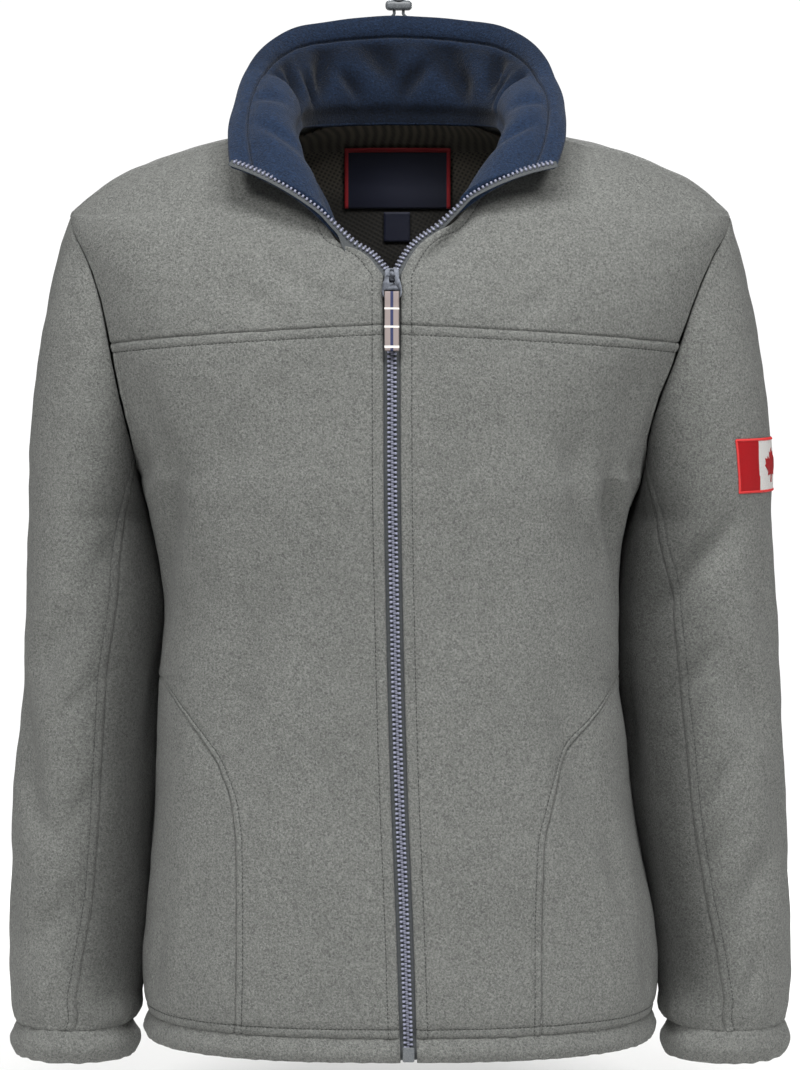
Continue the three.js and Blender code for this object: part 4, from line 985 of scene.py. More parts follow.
def shade(code, factor):
    """The same hex colour, darker or lighter."""
    return "#" + "".join("%02x" % min(255, round(int(code[i : i + 2], 16) * factor)) for i in (1, 3, 5))


def make_material(name, colours):
    grey, navy = as_hex(colours.fleece), as_hex(colours.collar)
    if name == "fleece":
        return polar_fleece("grey polar fleece", shade(grey, 0.79), grey, shade(grey, 1.18), 1.2, 0.08)
    if name == "collar":
        return polar_fleece("navy polar fleece", shade(navy, 0.76), navy, shade(navy, 1.28), 1.2, 0.1)
    if name == "lining":
        return mesh_lining(shade(as_hex(colours.lining), 0.35), as_hex(colours.lining))
    if name == "tape":
        return woven("woven polyester zip tape", shade(as_hex(colours.tape), 0.7), as_hex(colours.tape), 0.6)
    if name == "teeth dark":
        tooth = as_hex(colours.teeth)
        return moulded_plastic("acetal zip tooth heads", shade(tooth, 0.8), shade(tooth, 0.9), 0.42)
    if name == "teeth":
        return moulded_plastic("acetal zip teeth", as_hex(colours.teeth), shade(as_hex(colours.teeth), 1.12), 0.34)
    if name == "metal":
        return cast_zinc("gunmetal plated zinc", "#3c3f44", "#62656c")
    if name == "label":
        return woven("damask woven label", "#0c1022", as_hex(colours.label), 0.35, 0.55)
    if name == "label border":
        return woven("red woven label edge", "#7c0f18", "#b51a26", 0.5, 0.6)
    if name == "patch red":
        return embroidery("red satin stitch", "#8f0f16", as_hex(colours.patch_red))
    if name == "patch white":
        return embroidery("white satin stitch", "#b9b7b4", "#efedea")
    if name == "patch border":
        return embroidery("red overlocked edge", "#cc3636", "#f2645e", 0.7)
    if name == "ribbon":
        return striped_ribbon(as_hex(colours.ribbon), "#2a3156", "#eeebe6")
    if name == "lock":
        return moulded_plastic("nylon cord lock", "#5a5d60", "#6c7073", 0.36)
    if name == "lock dark":
        return moulded_plastic("dark nylon button", "#26282b", "#34373a", 0.45)
    if name == "cord":
        return woven("braided polyester cord", "#3c4043", "#62676b", 0.7, 0.65)
    if name == "thread":
        return embroidery("grey polyester thread", shade(grey, 0.5), shade(grey, 0.7), 0.3)
    if name == "navy thread":
        return embroidery("navy polyester thread", shade(navy, 0.4), shade(navy, 0.62), 0.3)
    raise KeyError(name)


# ---- Settings that a user would change ----
def length_setting(name, description, default):
    return bpy.props.FloatProperty(name=name, description=description, default=default, unit="LENGTH")


def colour_setting(name, description, default):
    return bpy.props.FloatVectorProperty(
        name=name, description=description, default=default, size=3, subtype="COLOR_GAMMA", min=0, max=1
    )


class JacketSizes(bpy.types.PropertyGroup):
    cloth: length_setting("Fleece", "Thickness of one layer of fleece", 0.0026)
    casing: length_setting("Casing", "Thickness of the turned-up hem and cuffs", 0.0046)
    stitch: length_setting("Stitch", "Length of one topstitch", 0.0032)
    flange: length_setting("Zip flange", "From the front edge to its topstitching", 0.0084)
    tooth: length_setting("Tooth spacing", "From one tooth of the zip to the next on a side", 0.0035)


class JacketColours(bpy.types.PropertyGroup):
    fleece: colour_setting("Fleece", "Body and sleeves", (0.445, 0.447, 0.437))
    collar: colour_setting("Collar", "Outer and inner collar", (0.118, 0.174, 0.258))
    lining: colour_setting("Lining", "Mesh behind the neck", (0.50, 0.47, 0.41))
    tape: colour_setting("Zip tape", "Woven tape", (0.36, 0.375, 0.385))
    teeth: colour_setting("Zip teeth", "Moulded teeth", (0.50, 0.51, 0.58))
    label: colour_setting("Label", "Neck label", (0.08, 0.10, 0.21))
    patch_red: colour_setting("Patch red", "Red of the flag", (0.70, 0.06, 0.09))
    ribbon: colour_setting("Ribbon", "Ground of the pull's ribbon", (0.57, 0.52, 0.51))


# Panels that the trims need again, by name.
PANELS = {}


def across(side):
    return -1 if side == "right" else 1


class JACKET_OT_torso(bpy.types.Operator):
    """Sews the back, the yokes, the fronts and the side panels."""

    bl_idname = "jacket.torso"
    bl_label = "Torso panels"

    def execute(self, context):
        sizes = context.scene.jacket_sizes
        cloth, flange = sizes.cloth * 1000, sizes.flange * 1000

        share = np.linspace(-1, 1, 420)[None, :]
        z = heights(SEAMS["hem"], 0)[:, None] + np.zeros_like(share)
        turn = np.where(share < 0, share * back_limit(z, "right"), share * back_limit(z, "left"))
        angle = np.where(turn < 0, -180 - turn, 180 - turn)
        # the angle kept with the points runs on past 180, so that it can be read between them
        base = np.concatenate([torso_point(z, angle), 180 - turn[..., None]], -1)
        PANELS["back"] = Panel(base, (7.4, 0, 0, 0), TORSO_FOLDS, TORSO_RADIUS, torso_middle, seed=1)
        for side in ("right", "left"):
            sign = across(side)
            PANELS[f"yoke_{side}"] = Panel(
                torso_base(
                    SEAMS["yoke"],
                    SEAMS["yoke_top"],
                    lambda z: (front_edge(z, side), sign * front_limit(z, side)),
                    slant=True,
                ),
                (0, 0, flange, 0),
                TORSO_FOLDS,
                TORSO_RADIUS,
                torso_middle,
                turned=("first",),
                seed=2,
            )
            PANELS[f"front_{side}"] = Panel(
                torso_base(
                    SEAMS["hem"], SEAMS["yoke"], lambda z: (front_edge(z, side), curved_seam(z, side)), slant=True
                ),
                (7.4, 7.2, flange, 5.6),
                TORSO_FOLDS,
                TORSO_RADIUS,
                torso_middle,
                turned=("first",),
                seed=3,
            )
            PANELS[f"side_panel_{side}"] = Panel(
                torso_base(SEAMS["hem"], SIDE_PANEL_TOP, lambda z: (curved_seam(z, side), sign * front_limit(z, side))),
                (7.4, 0, 0, 0),
                TORSO_FOLDS,
                TORSO_RADIUS,
                torso_middle,
                seed=4,
            )
        for name in [n for n in PANELS if not n.startswith("sleeve")]:
            panel_piece(PANELS[name], name, stuff("fleece"), "fleece", cloth)
        return {"FINISHED"}


class JACKET_OT_sleeves(bpy.types.Operator):
    """Sews the two-piece sleeves."""

    bl_idname = "jacket.sleeves"
    bl_label = "Sleeves"

    def execute(self, context):
        cloth = context.scene.jacket_sizes.cloth * 1000
        for side in ("right", "left"):
            upper = sleeve_base(side, lambda s: sleeve_seam("back", s), lambda s: sleeve_seam("front", s))
            under = sleeve_base(side, lambda s: sleeve_seam("front", s), lambda s: 360 + sleeve_seam("back", s))
            for name, base, stitches in (("upper", upper, (0, 0, 0, 7.0)), ("under", under, (0, 0, 0, 0))):
                # the base runs down from the armhole, so its first row is turned to be the top
                panel = Panel(base[::-1], stitches, SLEEVE_FOLDS[side], SLEEVE_RADIUS, arm_middle(side), seed=5, gathers=1.0)
                PANELS[f"sleeve_{name}_{side}"] = panel
                # painted shade on the side that hangs against the body, where the body keeps the light off
                turn = np.abs((panel.angle + 540) % 360 - 180)
                painted_contact_shade = 0.9 * smooth((turn - 62) / 75) * smooth((panel.points[..., 2] + 700) / 60)
                panel_piece(panel, f"sleeve_{name}_{side}", stuff("fleece"), "fleece", cloth, painted_contact_shade)
        return {"FINISHED"}


class JACKET_OT_bands(bpy.types.Operator):
    """Sews the hem band and the gathered cuffs, each folded double round its elastic."""

    bl_idname = "jacket.bands"
    bl_label = "Hem and cuffs"

    def execute(self, context):
        thick = context.scene.jacket_sizes.casing * 1000
        z = np.linspace(SEAMS["hem"], SEAMS["hem_bottom"] + thick / 2, 16)
        first, last = 180 + front_edge(z, "right"), 180 - front_edge(z, "left")
        share = np.linspace(0, 1, 420)[None, :]
        turn = -first[:, None] + (first + last)[:, None] * share
        outer = torso_point(z[:, None], np.where(turn < 0, -180 - turn, 180 - turn))
        normal = self.outwards(outer)
        dip = np.exp(-(((SEAMS["hem"] - z) / 1.4) ** 2))[:, None]
        gathers = 0.35 * ripple(outer * (1, 1, 0.25), 11, 31) - dip
        outer = outer + normal * gathers[..., None]
        self.band("hem_band", outer, normal, thick, closed=False)
        for side in ("right", "left"):
            z = np.linspace(SEAMS["cuff"], SEAMS["cuff_bottom"] + thick / 2, 18)
            angle = np.linspace(0, 360, 181)[None, :]
            outer = arm_point(side, z[:, None], angle)
            normal = self.outwards(outer, closed=True)
            outside = 0.5 + 0.5 * np.clip(np.cos(np.radians(angle - 30)), 0, 1)
            dip = np.exp(-(((SEAMS["cuff"] - z) / 1.4) ** 2))[:, None]
            gathers = 0.75 * outside * ripple(outer * (1, 1, 0.12), 13, 33) - 1.1 * dip
            outer = outer + normal * gathers[..., None]
            self.band(f"cuff_{side}", outer, normal, thick, closed=True)
        return {"FINISHED"}

    def outwards(self, points, closed=False):
        normal = unit(np.cross(np.gradient(points, axis=1), np.gradient(points, axis=0)))
        if closed:
            normal[:, 0] = normal[:, -1] = unit(normal[:, 0] + normal[:, -1])
        middle = points.mean((0, 1))
        return normal if (normal * (points - middle)).sum() > 0 else -normal

    def band(self, name, outer, normal, thick, closed):
        inner = outer - normal * thick
        piece = grid_object(f"{name}_cloth", looped(outer, inner), merge=True)
        if not closed:
            edit_mesh(piece, lambda bm: bmesh.ops.holes_fill(bm, edges=[e for e in bm.edges if e.is_boundary]))
        edit_mesh(piece, lambda bm: bmesh.ops.recalc_face_normals(bm, faces=bm.faces))
        flat, _ = sheet_size(outer)
        sewn(piece, name, "fleece", stuff("fleece"), (flat[0], flat[1] + 0.002))


class JACKET_OT_collar(bpy.types.Operator):
    """Sews the double stand collar with its drawcord casing round the rim."""

    bl_idname = "jacket.collar"
    bl_label = "Collar"

    def execute(self, context):
        casing = COLLAR_CASING
        near = casing + np.array([-0.034, -0.024, -0.016, -0.009, -0.004, 0, 0.004, 0.009, 0.016, 0.024])
        height = np.unique(np.concatenate([np.linspace(-0.07, 0.97, 44), near]))
        # trimmed at both front ends, so that the zip's tape stands a little proud of it
        trim = 3.4 / NECK_LENGTH
        ends = np.array([0, 0.2, 0.5, 0.9, 1.4, 2.0, 2.8]) / NECK_LENGTH
        share = np.concatenate([ends, np.linspace(0.007, 0.993, 200), 1 - ends[::-1]])
        at = trim + share * (1 - 2 * trim)
        outer = collar_point(at[None, :], height[:, None])
        inward = unit(np.cross(np.gradient(outer, axis=1), np.gradient(outer, axis=0)))
        if (inward * (np.array([0, -60, 60]) - outer)).sum() < 0:
            inward = -inward
        h = height[:, None]
        # the casing is a soft tube round the rim, stitched off from the rest in a sunk line
        tube = np.sin(math.pi * np.clip((h - casing) / (1 - casing), 0, 1)) ** 0.6
        thick = COLLAR_CLOTH + 2.0 * tube + 0 * at
        channel = np.exp(-(((h - casing) / 0.014) ** 2)) + 0.35 * np.exp(-(((h - casing) / 0.045) ** 2))
        slack = fold_slack(at, h)
        puckers = 0.5 * ripple(outer * (1, 1, 0.5), 12, 41) * np.exp(-(((h - casing) / 0.08) ** 2))
        waves = 0.5 * ripple(outer, 48, 42)
        half = np.minimum(share, 1 - share) * NECK_LENGTH / (COLLAR_CLOTH / 2)
        round_end = np.sqrt(np.clip(1 - (1 - np.minimum(half, 1)) ** 2, 0, 1))
        middle = outer + inward * (thick / 2)[..., None]
        face = thick / 2 * round_end
        out_face = middle - inward * (face - (0.9 * channel - 0.5 * puckers - waves) * round_end)[..., None]
        in_face = middle + inward * (face - (1.5 * channel - puckers - waves - slack) * round_end)[..., None]
        rows = looped(out_face, in_face)
        # painted shade on the inner face: how dark the material makes each point, darkest towards the back, low down
        # and in the troughs of the folds, with the rim's turn a little dark too
        reach = np.zeros(rows.shape[:2])
        inner = len(height) + 7
        back = smooth((np.minimum(at, 1 - at) - 0.27) / 0.06)
        painted_hollow_shade = np.clip(0.6 - slack / 9, 0, 1) * smooth((casing - h) / 0.12)
        depth = 0.38 * back + smooth((casing + 0.1 - h) / 0.3) * 0.14 * back + painted_hollow_shade * (0.15 + 0.85 * back)
        reach[inner - 7 : inner + len(height)] = 0.38 * back
        reach[inner : inner + len(height)] = np.clip(depth, 0, 1)[::-1]
        piece = grid_object("collar_cloth", rows, flat_uv(rows), merge=True, inside=reach)
        edit_mesh(
            piece,
            lambda bm: bmesh.ops.remove_doubles(bm, verts=bm.verts, dist=2e-5),
            lambda bm: bmesh.ops.recalc_face_normals(bm, faces=bm.faces),
        )
        flat, area = sheet_size(out_face)
        sewn(piece, "collar", "collar_fleece", stuff("collar"), flat, area=area)
        row = int(np.argmin(np.abs(height - casing)))
        ends = slice(4, -4)
        stitches = [(in_face[row][ends], inward[row][ends]), (out_face[row][ends], -inward[row][ends])]
        length = context.scene.jacket_sizes.stitch * 1000
        stitch_rows("collar_stitching", stitches, length, "navy thread")
        return {"FINISHED"}


def fold_slack(at, height):
    """Soft folds of the inner collar, up to the casing."""
    folds, total = COLLAR_FOLDS, 0
    for k in range(len(folds["at"])):
        side = (at - folds["at"][k]) * NECK_LENGTH
        up = (height - folds["up"][k]) * 95
        turn = math.radians(folds["lean"][k])
        along = up * math.cos(turn) + side * math.sin(turn)
        over = side * math.cos(turn) - up * math.sin(turn)
        total = total - folds["deep"][k] * np.exp(-2 * (along / folds["long"][k]) ** 2 - (over / folds["wide"][k]) ** 2)
    # it hangs fullest low down and tucks in above the neck seam
    share = np.clip(height / COLLAR_CASING, 0, 1)
    puff = 6.5 * np.sin(math.pi * share**0.75) ** 0.8
    return (total * COLLAR_FOLD_STRENGTH + puff) * smooth((COLLAR_CASING - height) / 0.14) * smooth((height + 0.02) / 0.14)


def frame_of(x, y, z, place, size=(1, 1, 1)):
    """A matrix with three given directions, sizes along them and a place."""
    return Matrix([[x[i] * size[0], y[i] * size[1], z[i] * size[2], place[i]] for i in range(3)] + [[0, 0, 0, 1]])


def stitch_rows(name, rows, length, material, body="jacket", size=0.42):
    """Rows of topstitches: short sunk threads, each from a basic round shape."""
    bm = bmesh.new()
    for points, normals in rows:
        far = distances(points)
        count = max(1, int(far[-1] / length))
        middle = (np.arange(count) + 0.5) * far[-1] / count
        place = points_at(points, far, middle)
        ahead = points_at(points, far, middle + 0.8) - points_at(points, far, middle - 0.8)
        normal = points_at(normals, far, middle)
        for spot, forward, up in zip(place, unit(ahead), unit(normal)):
            side = np.cross(up, forward)
            spot = spot + up * 0.12
            turn = frame_of(forward, side, up, spot, (length * 0.38, size, size))
            bmesh.ops.create_icosphere(bm, subdivisions=1, radius=1.0, matrix=turn)
    bmesh.ops.scale(bm, vec=(0.001,) * 3, verts=bm.verts)
    bmesh.ops.recalc_face_normals(bm, faces=bm.faces)
    for face in bm.faces:
        face.smooth = True
    return piece_from(bm, name, material, body)


def piece_from(bm, name, material, body="jacket", nodes=()):
    mesh = bpy.data.meshes.new(name)
    bm.to_mesh(mesh)
    bm.free()
    piece = bpy.data.objects.new(name, mesh)
    bpy.context.scene.collection.objects.link(piece)
    if material:
        piece.data.materials.append(stuff(material))
    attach(piece, body)
    if nodes:
        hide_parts(*nodes)
    return piece


class JACKET_OT_topstitching(bpy.types.Operator):
    """Sews the rows of topstitching beside the seams."""

    bl_idname = "jacket.topstitching"
    bl_label = "Topstitching"

    def execute(self, context):
        sizes = context.scene.jacket_sizes
        flange, length = sizes.flange * 1000, sizes.stitch * 1000
        rows = []
        for side in ("right", "left"):
            front, yoke = PANELS[f"front_{side}"], PANELS[f"yoke_{side}"]
            rows.append(front.row_at("first", flange))
            rows.append(yoke.row_at("first", flange))
            rows.append(front.row_at("top", 7.2))
            rows.append(front.row_at("low", 7.4))
            points, normals = front.row_at("last", 5.6)
            below = points[:, 2] < SIDE_PANEL_TOP
            rows.append((points[below], normals[below]))
            rows.append(PANELS[f"side_panel_{side}"].row_at("low", 7.4))
            rows.append(PANELS[f"sleeve_upper_{side}"].row_at("last", 7.0))
        rows.append(PANELS["back"].row_at("low", 7.4))
        stitch_rows("topstitching", rows, length, "thread")
        return {"FINISHED"}


class JACKET_OT_lining(bpy.types.Operator):
    """Hangs the mesh lining, the neck label and the size tag inside the back."""

    bl_idname = "jacket.lining"
    bl_label = "Lining and labels"

    def execute(self, context):
        cloth = context.scene.jacket_sizes.cloth * 1000
        z = np.interp(np.linspace(0, 1, 80), [0, 0.6, 1], [-190, -50, 2.0])
        share = np.linspace(-1, 1, 90)
        lining = inside_back(z, share * LINING_HALF, cloth + 2.3)
        lining_piece(lining, "neck_lining", "lining", "mesh_lining", 1.0)
        depth = cloth + 2.3 + 1.0 + 0.7
        edges = []
        # a red woven edge on the label's two sides and top
        for name, rows, columns in (
            ("label_edge_top", np.linspace(-20.6, -17.6, 4), np.linspace(-44.4, 40.4, 44)),
            ("label_edge_right", np.linspace(-61, -18, 22), np.linspace(-44.4, -41.4, 4)),
            ("label_edge_left", np.linspace(-61, -18, 22), np.linspace(37.4, 40.4, 4)),
        ):
            piece = self.strip(name, inside_back(rows, columns, depth + 0.45), "label border", 0.6)
            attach(piece, "jacket")
            edges.append(piece)
        label = inside_back(np.linspace(-61, -18, 24), np.linspace(-44, 40, 44), depth)
        lining_piece(label, "neck_label", "label", "label_satin", 0.7, with_pieces=edges)
        tag = inside_back(np.linspace(-88, -64, 14), np.linspace(-13, 8, 12), depth)
        lining_piece(tag, "size_tag", "label", "label_satin", 0.5)
        return {"FINISHED"}

    def strip(self, name, points, material, thickness):
        piece = grid_object(name, points, flat_uv(points))
        face_outwards(piece, lambda at: np.array([0.0, -1.0, 0.3]) + 0 * at)
        thicken(piece, thickness)
        piece.data.materials.append(stuff(material))
        return piece


def flat_uv(points):
    """Distances across and up a grid, for patterns that follow the cloth."""
    across, up = (np.linalg.norm(np.diff(points, axis=axis), axis=2) for axis in (1, 0))
    u = np.concatenate([np.zeros((len(points), 1)), np.cumsum(across, axis=1)], 1)
    v = np.concatenate([np.zeros((1, points.shape[1])), np.cumsum(up, axis=0)], 0)
    return np.stack([u, v], -1)


def inside_back(z, x, depth):
    """Points on the inside of the back, a given way in from its outer face."""
    z, x = np.meshgrid(z, x, indexing="ij")
    square, reach, *_ = torso_slice(z, True, False)
    most = 0.72 * reach - 4
    x = np.clip(x, -most, most)
    phi = np.degrees(np.arcsin(np.clip((np.abs(x) / reach) ** (square / 2), 0, 1)))
    angle = np.where(x < 0, -180 + phi, 180 - phi)
    up = torso_point(z + 1, angle) - torso_point(z - 1, angle)
    over = torso_point(z, angle + 0.5) - torso_point(z, angle - 0.5)
    normal = unit(np.cross(over, up))
    normal = np.where(normal[..., 1:2] > 0, -1, 1) * normal
    folds = LINING_FOLD_STRENGTH * np.maximum(fold_depth(TORSO_FOLDS, angle, z, TORSO_RADIUS), 0)
    return torso_point(z, angle) + normal * (depth + folds)[..., None]


def lining_piece(points, name, material, slot, thickness, **more):
    low = -points[..., 2]
    # painted shade, darker towards the bottom, which the mesh lining's material reads
    painted_hollow_shade = 0.55 * smooth((2 + low) / 18) + 0.45 * smooth((low - 20) / 45)
    piece = grid_object(f"{name}_cloth", points, flat_uv(points), inside=painted_hollow_shade)
    face_outwards(piece, lambda at: np.array([0.0, -1.0, 0.3]) + 0 * at)
    thicken(piece, thickness)
    flat, area = sheet_size(points)
    return sewn(piece, name, slot, stuff(material), flat, area=area, **more)


def torso_frame(x, z, side):
    """A place on the torso's front with its way across, out and up."""
    place = torso_point(z, angle_at(z, x))
    up = unit(torso_point(z + 2, angle_at(z + 2, x)) - torso_point(z - 2, angle_at(z - 2, x)))
    over = unit(torso_point(z, angle_at(z, x + 3)) - torso_point(z, angle_at(z, x - 3)))
    return place, across(side) * over, unit(np.cross(over, up)), up


def zip_stations(side):
    """The line of one half of the zip from hem to collar rim, its way across the tape and its way out."""
    sign = across(side)
    z = np.concatenate([np.linspace(SEAMS["hem_bottom"] + 2, ZIP_OPEN_AT, 150)])
    place, over, out, _ = torso_frame(read(ZIP_LINE, "x", z), z, side)
    stations = [np.stack([place, over, out], 1)]
    t = np.linspace(0, 5, 40)[1:]
    x, z = (read(ZIP_OPEN[side], key, t, "t") for key in "xz")
    place, over, out, up = torso_frame(x, z, side)
    ahead = np.stack([np.gradient(x), np.gradient(z)], -1)
    travel = unit(over * (ahead[:, :1] * sign) + up * ahead[:, 1:])
    stations.append(np.stack([place, unit(np.cross(travel, out) * sign), out], 1))
    edge, into = (0.0, 0.02) if side == "right" else (1.0, -0.02)
    height = np.linspace(0.16, 0.985, 40)
    point = collar_point(edge, height)
    inwards = unit(collar_point(edge + into, height) - point)
    rise = collar_point(edge, np.clip(height + 0.05, 0, 1)) - collar_point(edge, np.clip(height - 0.05, 0, 1))
    out = unit(np.cross(inwards, rise)) * -sign
    place = point + inwards * (ZIP_HALF - 1) + out * (COLLAR_CLOTH + 5.2)
    stations.append(np.stack([place, -inwards, out], 1))
    line = np.concatenate(stations)
    # even steps, and smoothed where the front's line runs into the collar's
    far = np.concatenate([[0], np.cumsum(np.linalg.norm(np.diff(line[:, 0], axis=0), axis=1))])
    even = np.arange(0, far[-1], 0.5)
    line = np.stack([np.interp(even, far, line.reshape(len(line), 9)[:, k]) for k in range(9)], -1)
    kernel = np.hanning(33) / np.hanning(33).sum()
    padded = np.pad(line, ((16, 16), (0, 0)), mode="reflect", reflect_type="odd")
    line = np.stack([np.convolve(padded[:, k], kernel, mode="valid") for k in range(9)], -1).reshape(-1, 3, 3)
    ahead = unit(np.gradient(line[:, 0], axis=0))
    out = unit(line[:, 2] - ahead * (line[:, 2] * ahead).sum(-1, keepdims=True))
    over = unit(np.cross(ahead, out)) * sign
    return line[:, 0], over, out, ahead


class JACKET_OT_zip(bpy.types.Operator):
    """Sews in the two zip tapes and moulds their teeth."""

    bl_idname = "jacket.zip"
    bl_label = "Zip"

    def execute(self, context):
        pitch = context.scene.jacket_sizes.tooth * 1000
        for side in ("right", "left"):
            place, over, out, ahead = zip_stations(side)
            # the tape lies under the front's cloth, and narrower where it lies on the collar's edge
            widths = np.array([0.2, 1.2, 2.2, 3.4, 5.2, 6.4, 9.0, 12.0])
            on_collar = smooth((np.arange(len(place)) * 0.5 - 628) / 16)[::4, None]
            widths = widths * (1 - on_collar) + np.minimum(widths, 4.6 + widths * 0.1) * on_collar
            lift = np.array([-2.5, -2.9, -3.0, -3.0, -3.2, -3.4, -3.5, -3.5])
            tape = place[::4, None] + over[::4, None] * widths[..., None] + out[::4, None] * lift[None, :, None]
            piece = grid_object(f"zip_tape_{side}", tape, flat_uv(tape))
            face_outwards(piece, lambda at: np.array([0.0, -1.0, 0.5]) + 0 * at)
            thicken(piece, 0.5)
            flat, area = sheet_size(tape)
            sewn(piece, f"zip_{side}", "zip_tape", stuff("tape"), flat, area=area)
            self.teeth(side, place, over, out, ahead, pitch)
        return {"FINISHED"}

    def teeth(self, side, place, over, out, ahead, pitch):
        """Each tooth is a head that locks with the other side, and a foot that grips the tape."""
        first = 12.0 + (0 if side == "right" else pitch / 2)
        for part, centre, lift, size, material in (
            ("heads", 0.5, -2.15, (3.0, 1.7, 1.5), "teeth dark"),
            ("feet", 2.55, -1.75, (2.0, 1.75, 2.3), "teeth"),
        ):
            bm = bmesh.new()
            for far in np.arange(first, (len(place) - 1) * 0.5 - 2.5, pitch):
                k = int(round(far / 0.5))
                middle = place[k] + over[k] * centre + out[k] * lift
                bmesh.ops.create_cube(bm, size=1.0, matrix=frame_of(over[k], ahead[k], out[k], middle, size))
            bmesh.ops.recalc_face_normals(bm, faces=bm.faces)
            bmesh.ops.bevel(bm, geom=bm.edges[:], offset=0.4, offset_type="OFFSET", affect="EDGES", segments=1, profile=0.5, material=-1)
            bmesh.ops.scale(bm, vec=(0.001,) * 3, verts=bm.verts)
            for face in bm.faces:
                face.smooth = True
            piece_from(bm, f"zip_{part}_{side}", material)


class JACKET_OT_patch(bpy.types.Operator):
    """Sews the embroidered flag on the wearer's left sleeve."""

    bl_idname = "jacket.patch"
    bl_label = "Flag patch"

    def execute(self, context):
        angle, z = np.linspace(*PATCH_ANGLES, 90), np.linspace(*PATCH_HEIGHTS, 44)
        face = self.on_sleeve(angle, z, 0.9)
        uv = flat_uv(face)
        width = uv[:, -1, 0].mean()
        piece = grid_object("flag_ground", face, uv)
        face_outwards(piece, lambda at: np.array([1.0, -0.6, 0.0]) + 0 * at)
        thicken(piece, 1.3)
        piece.data.materials.append(stuff("patch white"))
        piece.data.materials.append(stuff("patch red"))
        loops = np.array([piece.data.uv_layers[0].data[p.loop_start].uv[0] for p in piece.data.polygons]) * 1000
        bars = (loops < width * 0.25) | (loops > width * 0.75)
        piece.data.polygons.foreach_set("material_index", bars.astype(int))
        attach(piece, "jacket")
        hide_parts("flag_patch")
        self.leaf(width)
        self.border(face)
        return {"FINISHED"}

    def on_sleeve(self, angle, z, lift):
        """Points on the left sleeve at angles and heights, lifted off its face."""
        z, angle = np.meshgrid(z, angle, indexing="ij")
        low, high = np.zeros(z.shape), np.ones(z.shape)
        for _ in range(24):
            stage = (low + high) / 2
            above = sleeve_point("left", stage, angle)[..., 2] > z
            low, high = np.where(above, stage, low), np.where(above, high, stage)
        stage = (low + high) / 2
        point = sleeve_point("left", stage, angle)
        over = sleeve_point("left", stage, angle + 0.5) - sleeve_point("left", stage, angle - 0.5)
        down = sleeve_point("left", stage + 0.01, angle) - sleeve_point("left", stage - 0.01, angle)
        normal = unit(np.cross(over, down))
        normal = np.where((normal * (point - (245, 0, -250))).sum(-1, keepdims=True) < 0, -1, 1) * normal
        return point + normal * (lift + drape(point, angle, SLEEVE_FOLDS["left"], SLEEVE_RADIUS))[..., None]

    def leaf(self, width):
        """A maple leaf of eleven points, drawn on a grid of 100, in raised satin stitch."""
        half = [(0, 96), (9, 80), (21, 86), (17, 60), (32, 74), (36, 66), (50, 69)]
        half += [(45, 54), (52, 49), (27, 30), (30, 21), (3, 25), (4, 2)]
        outline = half + [(-x, y) for x, y in reversed(half[1:])]
        bm = bmesh.new()
        corners = [bm.verts.new((x, y, 0)) for x, y in outline]
        bm.faces.new(corners)
        bmesh.ops.triangulate(bm, faces=bm.faces[:])
        bmesh.ops.subdivide_edges(bm, edges=bm.edges[:], cuts=3, use_grid_fill=True)
        layer = bm.loops.layers.uv.new("cloth")
        size = 28.0
        spots = np.array([v.co[:] for v in bm.verts])
        middle = sum(PATCH_HEIGHTS) / 2
        u = 0.5 + spots[:, 0] / 100 * size / width
        z = middle + (spots[:, 1] - 50) / 100 * size
        # place by share of the patch's width
        angles = np.linspace(*PATCH_ANGLES, 200)
        line = self.on_sleeve(angles, np.array([middle]), 1.3)[0]
        far = distances(line)
        angle = np.interp(u * far[-1], far, angles)
        placed = np.array([self.on_sleeve(np.array([a]), np.array([h]), 1.35)[0, 0] for a, h in zip(angle, z)])
        for vert, spot, at in zip(bm.verts, placed, spots):
            for loop in vert.link_loops:
                loop[layer].uv = (at[1] / 100 * size / 1000, at[0] / 100 * size / 1000)
            vert.co = Vector(spot) / 1000
        for face in bm.faces:
            face.smooth = True
        piece = piece_from(bm, "flag_leaf", "patch red")
        face_outwards(piece, lambda at: np.array([1.0, -0.6, 0.0]) + 0 * at)
        thicken(piece, 0.35)

    def border(self, face):
        """The overlocked edge: a thick thread wound over the patch's rim."""
        rim = np.concatenate([face[0], face[1:, -1], face[-1, -2::-1], face[-2::-1, 0]])
        far = distances(rim)
        centre = face.mean((0, 1)) - np.array([30.0, 0, 0])
        bm = bmesh.new()
        for spot in np.arange(0, far[-1], 1.1):
            here = points_at(rim, far, spot)
            ahead = unit(points_at(rim, far, spot + 0.6) - points_at(rim, far, spot - 0.6))
            out = unit(here - centre)
            out = unit(out - ahead * (out @ ahead))
            side = np.cross(ahead, out)
            turn = frame_of(ahead, side, out, here - out * 0.3, (0.75, 1.3, 0.85))
            bmesh.ops.create_icosphere(bm, subdivisions=1, radius=1.0, matrix=turn)
        bmesh.ops.scale(bm, vec=(0.001,) * 3, verts=bm.verts)
        bmesh.ops.recalc_face_normals(bm, faces=bm.faces)
        for part in bm.faces:
            part.smooth = True
        piece_from(bm, "flag_border", "patch border")


